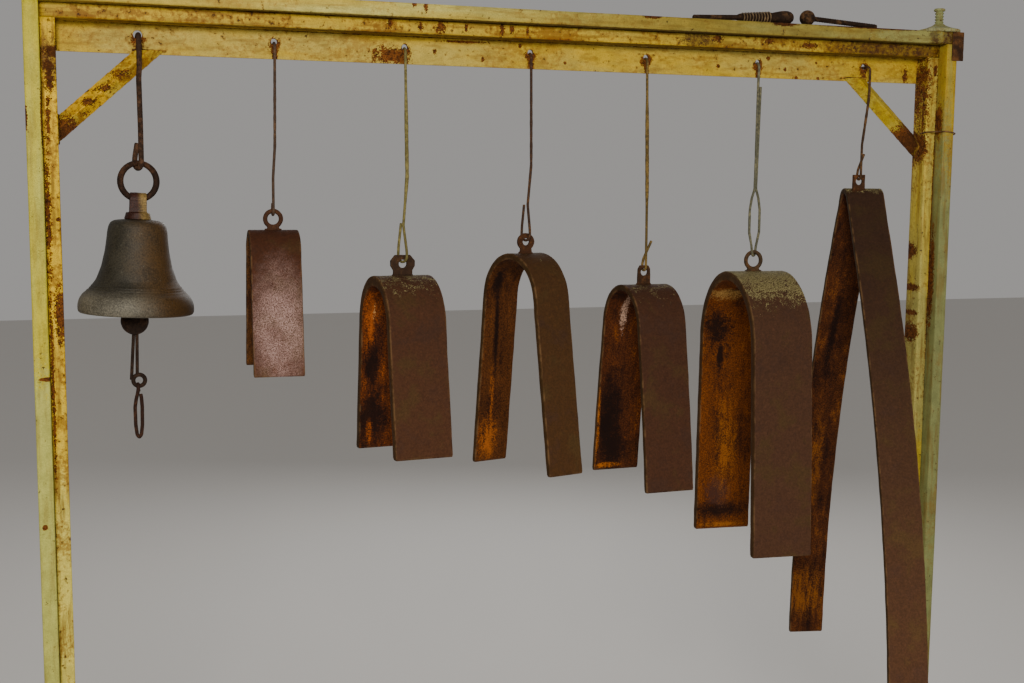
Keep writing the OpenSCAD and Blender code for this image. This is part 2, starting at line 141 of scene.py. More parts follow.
def light_studio():
    hang_light("key", (-0.4, -3.75, 2.65), (0.9, 0, 1.3), 1.1, 160, (1.0, 0.96, 0.90))
    hang_light("fill", (3.6, -3.0, 1.6), (0.9, 0, 1.1), 2.5, 20, (0.95, 0.97, 1.0))
    hang_light("back", (2.2, 3.6, 2.8), (0.9, 0, 1.2), 2.5, 55, (1.0, 1.0, 1.0))
    world = bpy.data.worlds.new("studio")
    world.use_nodes = True
    world.node_tree.nodes["Background"].inputs["Color"].default_value = (0.66, 0.64, 0.62, 1)
    world.node_tree.nodes["Background"].inputs["Strength"].default_value = 0.5
    bpy.context.scene.world = world


# Node helpers
class Value:
    """A node's output that formulas can use: plus, minus and times each make a node."""

    def __init__(self, socket):
        self.socket, self.tree = socket, socket.id_data

    def __getitem__(self, name):
        """Another output of the same node."""
        return Value(self.socket.node.outputs[name])

    def __add__(self, other):
        return calc("ADD", self, other)

    def __sub__(self, other):
        return calc("SUBTRACT", self, other)

    def __rsub__(self, other):
        return calc("SUBTRACT", other, self)

    def __mul__(self, other):
        return calc("MULTIPLY", self, other)


def node(kind, inputs=None, output=0, tree=None, **settings):
    """One node's output. An input that is a Value is linked and gives the tree, any other is set."""
    inputs = inputs or {}
    for value in inputs.values():
        tree = value.tree if isinstance(value, Value) else tree
    made = tree.nodes.new(kind)
    for key, value in settings.items():
        setattr(made, key, value)
    for key, value in inputs.items():
        if isinstance(value, Value):
            tree.links.new(value.socket, made.inputs[key])
        else:
            made.inputs[key].default_value = value
    return Value(made.outputs[output])


def calc(operation, a, b=0.0):
    return node("ShaderNodeMath", {0: a, 1: b}, operation=operation)


def fade(value, low, high, to_low=0.0, to_high=1.0):
    """Smooth step of a value from low to high."""
    return node("ShaderNodeMapRange", {"Value": value, "From Min": low, "From Max": high, "To Min": to_low,
                "To Max": to_high}, "Result", interpolation_type="SMOOTHSTEP")


def grain(position, scale, detail=4.0, rough=0.55, stretch=(1, 1, 1), shift=(0, 0, 0)):
    """Noise on a position, in features a metre."""
    turned = node("ShaderNodeMapping", {"Vector": position, "Scale": stretch, "Location": shift})
    return node("ShaderNodeTexNoise", {"Vector": turned, "Scale": scale, "Detail": detail,
                "Roughness": rough}, "Fac")


def blend(factor, a, b, kind="MIX"):
    """Colour b over colour a; the node's sockets 0, 6 and 7 take the factor and the two colours."""
    a, b = (c if isinstance(c, Value) else (*c, 1) for c in (a, b))
    return node("ShaderNodeMix", {0: factor, 6: a, 7: b}, 2, data_type="RGBA", blend_type=kind)


def shaded(colour, tone):
    """A colour made lighter or darker by a tone round 1."""
    return blend(1.0, colour, node("ShaderNodeCombineColor", {0: tone, 1: tone, 2: tone}), "MULTIPLY")


SOCKETS = {"Color": "NodeSocketColor", "Geometry": "NodeSocketGeometry"}


def open_group(name, inputs, outputs, kind="ShaderNodeTree"):
    """A node group's inputs. Each is set by its default, which also tells a number from a place and a
    colour; a word instead of a default names the socket's kind."""
    tree = bpy.data.node_groups.new(name, kind)
    for title, default in inputs.items():
        if isinstance(default, str):
            tree.interface.new_socket(title, in_out="INPUT", socket_type=default)
            continue
        size = 1 if isinstance(default, float) else len(default)
        form = {1: "NodeSocketFloat", 3: "NodeSocketVector", 4: "NodeSocketColor"}[size]
        tree.interface.new_socket(title, in_out="INPUT", socket_type=form).default_value = default
    for title in outputs:
        tree.interface.new_socket(title, in_out="OUTPUT", socket_type=SOCKETS.get(title, "NodeSocketFloat"))
    return Value(tree.nodes.new("NodeGroupInput").outputs[0])


def close_group(given, **results):
    """The group whose inputs are given, with its results linked."""
    ends = given.tree.nodes.new("NodeGroupOutput").inputs
    for title, value in results.items():
        given.tree.links.new(value.socket, ends[title])
    return given.tree


def use(made, **inputs):
    """A node group placed in a material, with its own values; an input's blank is an underscore here."""
    inputs = {title.replace("_", " "): value for title, value in inputs.items()}
    return node("ShaderNodeGroup", inputs, node_tree=made)


# Effects that several materials share
def build_rust():
    """Scaly rust: a dark skin, orange blooms and small pale flakes."""
    given = open_group("scaly_rust", {
        "Position": (0, 0, 0), "Skin": (0.07, 0.03, 0.015, 1), "Bloom": (0.30, 0.10, 0.015, 1),
        "Flake": (0.55, 0.32, 0.14, 1), "Bloom Amount": 0.4, "Flake Amount": 0.1, "Contrast": 0.3,
        "Size": 1.0}, ("Color", "Roughness", "Height"))
    sized = node("ShaderNodeVectorMath", {0: given["Position"], 3: given["Size"]}, operation="SCALE")
    broad = grain(sized, 14, 5, 0.6)
    middle = grain(sized, 70, 5, 0.65, shift=(3, 1, 2))
    fine = grain(sized, 420, 3, 0.6, shift=(7, 5, 1))
    runs = grain(sized, 30, 4, 0.6, stretch=(1, 1, 0.16))
    small = fine * 0.5 + middle * 0.5
    edge = 0.72 - given["Bloom Amount"] * 0.44
    bloom = fade(broad * 0.4 + middle * 0.35 + runs * 0.25 - edge, -0.05, 0.06)
    speck = 0.80 - given["Flake Amount"] * 0.4
    flake = fade(small - speck, -0.02, 0.04)
    tone = (small - 0.5) * given["Contrast"] * 8.0 + 1.0
    colour = shaded(blend(bloom, given["Skin"], given["Bloom"]), calc("MAXIMUM", tone, 0.15))
    return close_group(given, Color=blend(flake, colour, given["Flake"]),
                       Roughness=fade(fine, 0.2, 0.8, 0.74, 0.96),
                       Height=fine * 0.4 + middle * 0.8 + bloom * 0.3 + flake * 0.3)


def build_paint():
    """Old yellow paint: faded clouds, grime runs, mottling, rust pits, and open rust where Wear is high."""
    given = open_group("worn_paint", {
        "Position": (0, 0, 0), "Paint": (0.52, 0.38, 0.05, 1), "Faded": (0.48, 0.46, 0.16, 1),
        "Rust": (0.075, 0.024, 0.004, 1), "Fade Amount": 0.4, "Rust Amount": 0.3, "Grime": 0.4,
        "Mottle": 0.4, "Wear": 0.0, "Edge": 0.0, "Run": (1, 1, 0.1)}, ("Color", "Roughness", "Height"))
    position = given["Position"]
    stretched = node("ShaderNodeVectorMath", {0: position, 1: given["Run"]}, operation="MULTIPLY")
    clouds = grain(stretched, 22, 4, 0.55)
    runs = grain(stretched, 90, 5, 0.65, shift=(4, 4, 4))
    broad = grain(position, 9, 3, 0.5, shift=(1, 6, 2))
    blotch = grain(position, 34, 6, 0.68, shift=(2, 9, 4))
    pits = grain(position, 130, 4, 0.7, shift=(5, 3, 8))
    fine = grain(position, 480, 2, 0.5)
    faded = fade(clouds + given["Fade Amount"] * 0.6, 0.62, 0.92)
    paint = shaded(blend(faded, given["Paint"], given["Faded"]),
                   fade(blotch * 0.6 + fine * 0.4, 0.34, 0.66, 0.74, 1.14))
    paint = blend(fade(runs, 0.46, 0.66) * given["Grime"], paint, GRIME)
    mottle = pits * 0.40 + blotch * 0.30 + broad * 0.30 + given["Mottle"] * 0.10
    mottle = fade(mottle, 0.545, 0.64) * calc("MINIMUM", given["Mottle"], 1.0)
    paint = blend(mottle, paint, MOTTLE)
    edged = given["Edge"] * fade(runs, 0.36, 0.58, 0.15, 1.0)
    threshold = 0.78 - (given["Rust Amount"] * 0.26 + given["Wear"] * 0.42 + edged * 0.20)
    over = blotch * 0.45 + pits * 0.25 + runs * 0.15 + broad * 0.15 - threshold
    bare = fade(over, -0.012, 0.02)
    specks = fade(pits + given["Mottle"] * 0.06, 0.665, 0.70)
    rusted = shaded(given["Rust"], fade(pits * 0.6 + fine * 0.4, 0.36, 0.64, 0.3, 2.4))
    colour = blend(fade(over, -0.085, 0.01) * 0.8, paint, RUST_HALO)
    colour = blend(specks * 0.85, blend(bare, colour, rusted), RUST_PIT)
    return close_group(given, Color=colour, Roughness=fade(bare, 0, 1, 0.6, 0.95),
                       Height=bare * -0.7 + specks * -0.5 + fine * 0.2 + pits * 0.3)


def build_patch():
    """A ragged patch round a centre: 1 inside, 0 outside."""
    rim = 0.92
    given = open_group("ragged_patch", {
        "Position": (0, 0, 0), "Centre": (0, 0, 0), "Reach": (0.05, 0.05, 0.05), "Ragged": 0.6,
        "Soft": 0.17}, ("Mask",))
    away = node("ShaderNodeVectorMath", {0: given["Position"], 1: given["Centre"]}, operation="SUBTRACT")
    away = node("ShaderNodeVectorMath", {0: away, 1: given["Reach"]}, operation="DIVIDE")
    far = node("ShaderNodeVectorMath", {0: away}, "Value", operation="LENGTH")
    coarse = grain(given["Position"], 90, 5, 0.7)
    fine = grain(given["Position"], 380, 3, 0.7, shift=(3, 3, 3))
    far += (coarse * 0.6 + fine * 0.7 - 0.65) * (given["Ragged"] * 3.0)
    return close_group(given, Mask=fade(far, rim - given["Soft"], given["Soft"] + rim, 1.0, 0.0))


def build_streaks():
    """Streaked scale on a hanging face: dark and warm runs with bright flares in them."""
    given = open_group("streaked_scale", {
        "Position": (0, 0, 0), "Dark": (0.02, 0.006, 0.002, 1), "Warm": (0.11, 0.045, 0.008, 1),
        "Flare": (0.30, 0.11, 0.01, 1), "Warm Amount": 0.5, "Flare Amount": 0.2},
        ("Color", "Height", "Streak"))
    position = given["Position"]
    streak = grain(position, 110, 5, 0.66, stretch=(1, 1, 0.16), shift=(2, 2, 2))
    cloud = grain(position, 20, 6, 0.66, stretch=(1, 1, 0.45))
    fine = grain(position, 420, 3, 0.7)
    warm = fade(streak * 0.28 + cloud * 0.50 + fine * 0.22 + given["Warm Amount"] * 0.14, 0.45, 0.68)
    flare = fade(streak * 0.40 + cloud * 0.45 + fine * 0.15 + given["Flare Amount"] * 0.16, 0.56, 0.74)
    flare *= fade(fine, 0.36, 0.60, 0.35, 1.0)
    colour = blend(flare, blend(warm, given["Dark"], given["Warm"]), given["Flare"])
    return close_group(given, Color=shaded(colour, fade(fine, 0.34, 0.66, 0.55, 1.6)),
                       Height=streak * 0.5 + fine * 0.6 + flare * 0.3, Streak=streak)


def build_lichen():
    """Yellow-green crust with a speckled edge."""
    given = open_group("lichen_crust", {"Position": (0, 0, 0), "Amount": 0.0}, ("Mask", "Color"))
    fine = grain(given["Position"], 520, 3, 0.6)
    level = grain(given["Position"], 70, 5, 0.7) * 0.50 + fine * 0.50
    edge = 0.78 - given["Amount"] * 0.34
    return close_group(given, Mask=fade(level - edge, -0.02, 0.03),
                       Color=blend(fade(fine, 0.38, 0.62), (0.055, 0.040, 0.012), (0.22, 0.18, 0.075)))


RUST, PAINT, PATCH = build_rust(), build_paint(), build_patch()
STREAKS, LICHEN = build_streaks(), build_lichen()


# Materials
def start_material(name):
    """A material, its shader's inputs and the piece's own coordinates."""
    made = bpy.data.materials.new(name)
    made.use_nodes = True
    position = node("ShaderNodeTexCoord", output="Object", tree=made.node_tree)
    return made, made.node_tree.nodes["Principled BSDF"].inputs, position


def coat(shader, colour, roughness, height, raised, specular=0.15, metal=0.0):
    """Feeds a shader; raised is the bump's strength and its depth in metres."""
    bump = node("ShaderNodeBump", {"Height": height, "Strength": raised[0], "Distance": raised[1]}, "Normal")
    for title, value in (("Base Color", colour), ("Roughness", roughness), ("Normal", bump)):
        value.tree.links.new(value.socket, shader[title])
    shader["Specular IOR Level"].default_value = specular
    shader["Metallic"].default_value = metal


def mark(tree, name):
    """A value that the mesh carries at its points."""
    return node("ShaderNodeAttribute", output="Fac", tree=tree, attribute_name=name)


def patches(position, places):
    """The strongest of several patches; a place is a centre and a reach in millimetres, how ragged
    its edge is and, where it is given, how soft."""
    most = None
    for centre, reach, ragged, *soft in places:
        mask = use(PATCH, Position=position, Centre=[c * MM for c in centre], Reach=[c * MM for c in reach],
                   Ragged=ragged, Soft=soft[0] if soft else 0.17)
        most = calc("MAXIMUM", most, mask) if most else mask
    return most


def front_spots(y, deep, *places):
    """Patches on a face that looks to the front: x, z, the reach along both, and the edge."""
    return [((x, y, z), (wide, deep, high), *edge) for x, z, wide, high, *edge in places]


def side_spots(x, deep, *places):
    """Patches on a face that looks sideways: y, z, the reach along both, and the edge."""
    return [((x, y, z), (deep, wide, high), *edge) for y, z, wide, high, *edge in places]


def paint_material(name, paint, faded, amounts, run=(1, 1, 1), worn=(), stain_and_shade_spots=(), pale=(), tones=None):
    """Painted steel. The amounts are how faded, rusty, grimy and mottled it is, and how bare its edges
    are. Worn places show open rust; stain and shade places get a dark brown skin, which is real stain
    on some pieces and painted shade, with some rust, under the head's tubes and along their seams; pale
    places show faded paint; tones are an axis and two (place, tone) pairs that the paint darkens between."""
    fading, rust, grime, mottle, bare_edge = amounts
    made, shader, position = start_material(name)
    inputs = {}
    if worn:
        inputs["Wear"] = patches(position, worn)
    if bare_edge:
        inputs["Edge"] = mark(position.tree, "edge") * bare_edge
    out = use(PAINT, Position=position, Paint=(*paint, 1), Faded=(*faded, 1),
              Fade_Amount=patches(position, pale) + fading if pale else fading,
              Rust_Amount=rust, Grime=grime, Mottle=mottle, Run=run, **inputs)
    colour = out["Color"]
    if tones:
        axis, (start, tone), (end, last) = tones
        place = node("ShaderNodeSeparateXYZ", {0: position}, axis)
        colour = shaded(colour, fade(place, start * MM, end * MM, tone, last))
    if stain_and_shade_spots:
        rough = fade(grain(position, 160, 4, 0.7), 0.36, 0.58, 1.0, 0.55)
        colour = blend(patches(position, stain_and_shade_spots) * rough, colour, STAIN_AND_SHADE)
    coat(shader, colour, out["Roughness"], out["Height"], (0.5, 0.0012))
    return made


def rust_material(name, skin, bloom, flake=(0.30, 0.16, 0.07), amounts=(0.4, 0.12), contrast=0.4, size=1.0,
                  metal=0.0):
    """Rusted steel; amounts are how much bloom and how many flakes."""
    made, shader, position = start_material(name)
    out = use(RUST, Position=position, Skin=(*skin, 1), Bloom=(*bloom, 1), Flake=(*flake, 1),
              Bloom_Amount=amounts[0], Flake_Amount=amounts[1], Contrast=contrast, Size=size)
    coat(shader, out["Color"], out["Roughness"], out["Height"], (0.6, 0.0012), metal=metal)
    return made


def bar_material(name, skin, dark, warm, flare, amounts=(0.5, 0.2), dark_patches=(), sparks=(), scale=(),
                 lichen=0.0, dust=(), tones=(0.95, 1.15), haze=(), pale=(0.36, 0.21, 0.12)):
    """Rusted flat bar: a brown skin outside, and streaked scale in three colours inside.

    Amounts are how much is warm and how much flares up. Dark patches are near-black places of the inner
    face, haze dull purple ones, sparks bright orange ones and scale pale ones; dust lies on the outer face.
    Tones are painted light: they shade the outer skin from darker at the top to lighter at the bottom,
    making up for the key light falling off lower down.
    """
    made, shader, position = start_material(name)
    bloom = [c * k for c, k in zip(skin, (1.15, 1.12, 1.1))]
    outer = use(RUST, Position=position, Skin=(*skin, 1), Bloom=(*bloom, 1), Flake=(0.13, 0.08, 0.05, 1),
                Bloom_Amount=0.30, Flake_Amount=0.10, Contrast=0.16, Size=1.8)
    inner = use(STREAKS, Position=position, Dark=(*dark, 1), Warm=(*warm, 1), Flare=(*flare, 1),
                Warm_Amount=amounts[0], Flare_Amount=amounts[1])
    fine = grain(position, 420, 4, 0.7)
    colour = inner["Color"]
    for places, tint, mask in (
            # near-black patches on the inner face
            (dark_patches, NEAR_BLACK, fade(fine, 0.1, 0.5, 0.8, 1.0)),
            (haze, HAZE, fade(fine, 0.2, 0.6, 0.6, 1.0)),
            (sparks, flare, fade(inner["Streak"] * 0.5 + fine * 0.5, 0.42, 0.58)),
            (scale, pale, fade(fine, 0.40, 0.52))):
        if places:
            colour = blend(patches(position, places) * mask * 0.95, colour, tint)
    outside, drop, edge, crown = (mark(position.tree, m) for m in ("outside", "drop", "edge", "crown"))
    clouds = grain(position, 14, 5, 0.65)
    cover = blend(fade(clouds, 0.50, 0.66, 0.0, 0.5), outer["Color"], OLIVE)
    cover = blend(fade(clouds, 0.48, 0.34, 0.0, 0.45), cover, PLUM)
    # painted light: the tones make the outer skin lighter towards the bottom, where the key light falls off;
    # the grain on it is random tone
    shade = fade(drop, 0.0, 1.0, *tones) * fade(grain(position, 260, 4, 0.7), 0.3, 0.7, 0.82, 1.18)
    colour = blend(fade(outside, 0.35, 0.65), colour, shaded(cover, shade))
    side = fade(calc("ABSOLUTE", outside - 0.5), 0.32, 0.12)
    colour = blend(side * 0.75, colour, SIDE_SKIN)
    if dust:
        powder = fade(grain(position, 650, 3, 0.7), 0.36, 0.62)
        powder *= fade(grain(position, 26, 4, 0.6), 0.30, 0.62, 0.5, 1.0)
        powder *= fade(outside, 0.5, 0.9)
        colour = blend(powder * patches(position, dust), colour, POWDER)
    edge *= fade(grain(position, 40, 5, 0.7), 0.42, 0.62)
    colour = blend(edge * 0.55, colour, BARE_EDGE)
    top = fade(crown, 0.1, 1.0) * fade(outside, 0.3, 0.8)
    crust = use(LICHEN, Position=position, Amount=top * lichen)
    colour = blend(crust["Mask"], colour, crust["Color"])
    height = outer["Height"] * 0.6 + inner["Height"] * 0.5 + crust["Mask"] * 0.8
    coat(shader, colour, outer["Roughness"], height, (0.6, 0.0011), 0.14)
    return made


def bronze_material(name, left, right, lip, metal, reach=100):
    """Cast bronze whose skin changes colour to the right over a reach in millimetres; its lip carries a
    painted olive highlight that fades out to the right, and its right side a painted shade.
    """
    made, shader, position = start_material(name)
    clouds = grain(position, 16, 5, 0.6)
    fine = grain(position, 240, 4, 0.65)
    lines = grain(position, 1, 3, 0.5, stretch=(4, 4, 700))
    stipple = grain(position, 420, 3, 0.7)
    place = node("ShaderNodeSeparateXYZ", {0: position})
    across = place["X"] + clouds * (reach * 0.6 * MM)
    start, end = (RING_X - 0.1 * reach) * MM, (RING_X + 0.9 * reach) * MM
    colour = blend(fade(across, start, end), left, right)
    # painted highlight: the olive lip colour on the lower rim, strongest on the left and fading out to the
    # right, where the lip lies in shade
    low = fade(place["Z"], (SHOULDER_Z - 106) * MM, (SHOULDER_Z - 128) * MM)
    low *= fade(across, (RING_X - 20) * MM, (RING_X + 80) * MM, 1.0, 0.0)
    colour = blend(low * fade(fine, 0.2, 0.6, 0.5, 1.0), colour, lip)
    colour = shaded(colour, fade(clouds * 0.4 + stipple * 0.6, 0.38, 0.62, 0.55, 1.55))
    colour = blend(fade(fine, 0.62, 0.74, 0.0, 0.35), colour, BRONZE_SPECK)
    # painted shade: the right side of the bell darkened to 0.6
    colour = shaded(colour, fade(across, (RING_X + 30) * MM, (RING_X + 110) * MM, 1.0, 0.6))
    coat(shader, colour, fade(clouds, 0.2, 0.8, 0.46, 0.66), lines * 0.7 + stipple * 1.0 + fine * 0.6,
         (0.45, 0.0009), 0.22, metal)
    return made


# Mesh helpers
def make_mesh(name, points, faces, **marks):
    """A smooth mesh from points in millimetres, its faces turned outward, with named point values."""
    mesh = bpy.data.meshes.new(name)
    mesh.from_pydata([Vector(p) * MM for p in points], [], faces)
    for title, values in marks.items():
        values = list(values) + [0.0] * (len(points) - len(values))
        mesh.attributes.new(title, "FLOAT", "POINT").data.foreach_set("value", values)
    bm = bmesh.new()
    bm.from_mesh(mesh)
    bmesh.ops.recalc_face_normals(bm, faces=bm.faces)
    bm.to_mesh(mesh)
    bm.free()
    mesh.shade_smooth()
    return mesh


def skin(rings, loop=False):
    """Points and faces of a skin over rings; its ends meet in a point, or each other in a loop."""
    count = len(rings[0])
    points = [p for ring in rings for p in ring]
    pairs = [(i, i + 1) for i in range(len(rings) - 1)] + ([(len(rings) - 1, 0)] if loop else [])
    faces = [(a * count + k, a * count + (k + 1) % count, b * count + (k + 1) % count, b * count + k)
             for a, b in pairs for k in range(count)]
    if not loop:
        for ring, first in ((rings[0], 0), (rings[-1], (len(rings) - 1) * count)):
            points.append(sum((Vector(p) for p in ring), Vector()) / count)
            faces += [(first + k, first + (k + 1) % count, len(points) - 1) for k in range(count)]
    return points, faces


def join(*forms):
    """One set of points and faces from several."""
    points, faces = [], []
    for more, sides in forms:
        faces += [tuple(i + len(points) for i in face) for face in sides]
        points += more
    return points, faces


def soften(path, step=1.5, passes=3):
    """The same path in short even steps, with its corners worn round."""
    path = [Vector(p) for p in path]
    even = [path[0]]
    for a, b in zip(path, path[1:]):
        parts = max(1, round((b - a).length / step))
        even += [a.lerp(b, k / parts) for k in range(1, parts + 1)]
    for _ in range(passes):
        even[1:-1] = [(a + 2 * b + c) / 4 for a, b, c in zip(even, even[1:], even[2:])]
    return even


def wire(path, radius, sides=12, loop=False):
    """A round wire along a path; the radius is a number, or a function of the share of the length."""
    rings, side, last = [], Vector((0.31, 0.17, 0.93)), len(path) - 1
    for i, spot in enumerate(path):
        before = path[i - 1] if loop or i else path[0]
        after = path[(i + 1) % len(path)] if loop else path[min(i + 1, last)]
        ahead = (after - before).normalized()
        side = (side - ahead * side.dot(ahead)).normalized()
        over = ahead.cross(side)
        size = radius(i / last) if callable(radius) else radius
        rings.append([spot + (side * cos(TAU * k / sides) + over * sin(TAU * k / sides)) * size
                      for k in range(sides)])
    return skin(rings, loop)


def arc(x, y, z, reach, start, end, count=16):
    """Points round an axis along X, from one angle to another in degrees."""
    angles = [radians(start + (end - start) * i / count) for i in range(count + 1)]
    return [(x, y + reach * cos(a), z + reach * sin(a)) for a in angles]


def circle(x, y, z, reach, count=72):
    """Points of a ring that faces the front."""
    return [Vector((x + reach * cos(TAU * i / count), y, z + reach * sin(TAU * i / count)))
            for i in range(count)]


def round_spot(angle, radius, height):
    return Vector((cos(angle) * radius, sin(angle) * radius, height))


def lathe(profile, place, sides=64, shape=None):
    """A turned form from (radius, height) pairs; shape may change a radius with the angle and height."""
    angles = [TAU * k / sides for k in range(sides)]
    return skin([[place @ round_spot(a, shape(a, r, height) if shape else r, height) for a in angles]
                 for r, height in profile])


def hoop(section, place, sides=48):
    """A ring with a closed section of (radius, width) pairs."""
    return skin([[place @ round_spot(TAU * k / sides, r, w) for r, w in section] for k in range(sides)],
                loop=True)


def at(spot, angle=0.0, axis="Y"):
    """A place in millimetres, turned about an axis."""
    return Matrix.Translation(spot) @ Matrix.Rotation(angle, 4, axis)


def clamp(value):
    return max(0.0, min(1.0, value))


def set_look(mesh, look):
    mesh.materials.clear()
    mesh.materials.append(look)


def show_mesh(name, mesh, look, body, slot, *replaced):
    """A finished mesh becomes a piece that rides on its body."""
    set_look(mesh, look)
    piece = add_object(name, mesh)
    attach(piece, body)
    if replaced:
        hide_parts(*replaced)


def show(name, form, look, body, slot, *replaced, **marks):
    """A piece from points and faces."""
    show_mesh(name, make_mesh(name, *form, **marks), look, body, slot, *replaced)


def finished(piece):
    """The mesh that a piece has once its modifiers are applied; the piece itself goes."""
    made = bpy.data.meshes.new_from_object(piece.evaluated_get(bpy.context.evaluated_depsgraph_get()))
    bpy.data.objects.remove(piece)
    made.shade_smooth()
    return made


def worn_copy(name, node_name, look, body, slot, voxel, passes, rough, shape=None):
    """A CAD solid with its edges worn round and its faces uneven, in place of the solid."""
    wave = 9.0
    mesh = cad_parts[node_name].data.copy()
    bm = bmesh.new()
    bm.from_mesh(mesh)
    bmesh.ops.remove_doubles(bm, verts=bm.verts, dist=1e-6)
    bm.to_mesh(mesh)
    bm.free()
    piece = add_object(name, mesh)
    remesh = piece.modifiers.new("even", "REMESH")
    remesh.mode, remesh.voxel_size = "VOXEL", voxel * MM
    smooth = piece.modifiers.new("worn", "SMOOTH")
    smooth.factor, smooth.iterations = 0.5, passes
    mesh = finished(piece)
    normals = [v.normal.copy() for v in mesh.vertices]
    for vert, normal in zip(mesh.vertices, normals):
        dent = noise.noise(vert.co / (wave * MM)) - 0.7
        vert.co += normal * dent * rough * MM
        if shape:
            vert.co = shape(vert.co / MM) * MM
    show_mesh(name, mesh, look, body, slot, node_name)


def build_bead():
    """A weld bead: overlapping drops along a path, made into one mesh."""
    given = open_group("weld_bead", {
        "Geometry": "NodeSocketGeometry", "Size": 0.0025, "Spacing": 0.002, "Look": "NodeSocketMaterial"},
        ("Geometry",), "GeometryNodeTree")
    path = node("GeometryNodeMeshToCurve", {"Mesh": given["Geometry"]}, "Curve")
    path = node("GeometryNodeResampleCurve", {"Curve": path, "Length": given["Spacing"]}, "Curve",
                mode="LENGTH")
    tangent = node("GeometryNodeInputTangent", tree=given.tree)
    turned = node("FunctionNodeAlignRotationToVector", {"Vector": tangent}, axis="Z")
    drop = node("GeometryNodeMeshIcoSphere", {"Radius": given["Size"], "Subdivisions": 3}, "Mesh")
    sizes = node("FunctionNodeRandomValue", {"Min": (0.8, 0.8, 0.45), "Max": (1.1, 1.1, 0.75), "Seed": 7},
                 "Value", given.tree, data_type="FLOAT_VECTOR")
    drops = node("GeometryNodeInstanceOnPoints", {"Points": path, "Instance": drop, "Rotation": turned,
                 "Scale": sizes}, "Instances")
    solid = node("GeometryNodeRealizeInstances", {"Geometry": drops}, "Geometry")
    return close_group(given, Geometry=node("GeometryNodeSetMaterial", {"Geometry": solid,
                       "Material": given["Look"]}))


BEAD = build_bead()


def weld(name, paths, size, look, body, slot):
    """Weld beads along paths in millimetres."""
    points, edges = [], []
    for path in paths:
        edges += [(len(points) + i, len(points) + i + 1) for i in range(len(path) - 1)]
        points += [Vector(p) * MM for p in path]
    mesh = bpy.data.meshes.new(name)
    mesh.from_pydata(points, edges, [])
    line = add_object(name, mesh)
    modifier = line.modifiers.new("bead", "NODES")
    modifier.node_group = BEAD
    sockets = {item.name: item.identifier for item in BEAD.interface.items_tree if item.in_out == "INPUT"}
    modifier[sockets["Size"]] = size * MM
    modifier[sockets["Spacing"]] = size * 0.8 * MM
    modifier[sockets["Look"]] = look
    show_mesh(name, finished(line), look, body, slot)


# Portal
UPRIGHT, LYING = ((1, 0, 0), (0, 1, 0), (0, 0, 1)), ((0, 1, 0), (0, 0, 1), (1, 0, 0))
UP_RUN, ALONG_RUN = (1, 1, 0.1), (0.1, 1, 1)


def rounded(width, depth, radius):
    """Loop of a tube's section from its lower left corner, and how much each point is an edge."""
    corners = ((width - radius, radius, -90), (width - radius, depth - radius, 0),
               (radius, depth - radius, 90), (radius, radius, 180))
    loop = []
    for (x, y, start), (nx, ny, first) in zip(corners, corners[1:] + corners[:1]):
        turned = [(x + radius * cos(radians(start + 22.5 * i)), y + radius * sin(radians(start + 22.5 * i)))
                  for i in range(5)]
        loop += [(px, py, 1.0 if 0 < i < 4 else 0.6) for i, (px, py) in enumerate(turned)]
        ahead = (nx + radius * cos(radians(first)), ny + radius * sin(radians(first)))
        loop += [(turned[-1][0] + (ahead[0] - turned[-1][0]) * k / 4,
                  turned[-1][1] + (ahead[1] - turned[-1][1]) * k / 4, 0.0) for k in (1, 2, 3)]
    return loop


def build_tube(node_name, look, corner, axes, size, length):
    """A rectangular tube with worn edges and slight dents, open at both ends or closed at its foot."""
    u, v, w = (Vector(axis) for axis in axes)
    closed = axes is UPRIGHT
    bore = [(x + WALL, y + WALL, 0.0)
            for x, y, _ in rounded(size[0] - 2 * WALL, size[1] - 2 * WALL, CORNER - WALL)]

    def spot(x, y, along):
        return Vector(corner) + u * x + v * y + w * along

    steps = round(length / 14)
    rings, edges = [], []
    for i in range(steps + 1):
        ring = []
        middle = spot(size[0] / 2, size[1] / 2, length * i / steps)
        for x, y, edge in rounded(*size, CORNER):
            here = spot(x, y, length * i / steps)
            dent = 0.25 * (noise.noise(here * 0.016) - 0.6) + 0.2 * edge * (noise.noise(here * 0.06) - 0.7)
            ring.append(here + (here - middle).normalized() * dent)
            edges.append(edge)
        rings.append(ring)
    for along in [length * i / steps for i in range(steps, 0, -4)] + [WALL if closed else 0.0]:
        rings.append([spot(x, y, along) for x, y, _ in bore])
    form = skin(rings, loop=not closed)
    show(node_name + "_tube", form, look, "portal", "yellow_paint", node_name, edge=edges)


def left_outer_paint():
    return paint_material(
        "left_outer_paint", (0.47, 0.39, 0.018), (0.41, 0.40, 0.085), (0.40, 0.04, 0.35, 0.25, 0.35), UP_RUN,
        front_spots(FRONT, 40, (9, 1259, 16, 4, 0.3)) + front_spots(FRONT, 8, (-3, 1009, 5, 5, 0.4))
        + front_spots(-30, 8, (12, 1685, 2, 55, 0.7)) + front_spots(FRONT, 8, (-12, 1686, 3, 24, 0.8)),
        front_spots(-20, 20, (-12, 1686, 2, 22, 0.9)), front_spots(FRONT, 90, (0, 800, 60, 480, 0.2, 0.12)))


def left_inner_paint():
    return paint_material(
        "left_inner_paint", (0.70, 0.45, 0.010), (0.62, 0.52, 0.09), (0.15, 0.26, 0.75, 0.75, 0.5), UP_RUN,
        front_spots(INNER_Y, 20, (26, 1757, 8, 30, 1.2, 0.3), (34, 1795, 18, 9, 0.8),
                    (31, 1362, 9, 48, 1.3, 0.3))
        + front_spots(INNER_Y, 8, (33, 1522, 4, 4, 0.5))
        + front_spots(INNER_Y, 12, (18, 1530, 4, 100, 2.0, 0.5), (17, 1250, 2.5, 150, 1.8, 0.6),
                      (22, 1690, 3, 40, 1.6, 0.3)),
        front_spots(INNER_Y, 30, (30, 1780, 18, 40, 1.0, 0.4)),
        front_spots(INNER_Y, 90, (25, 700, 60, 330, 0.2, 0.5)))


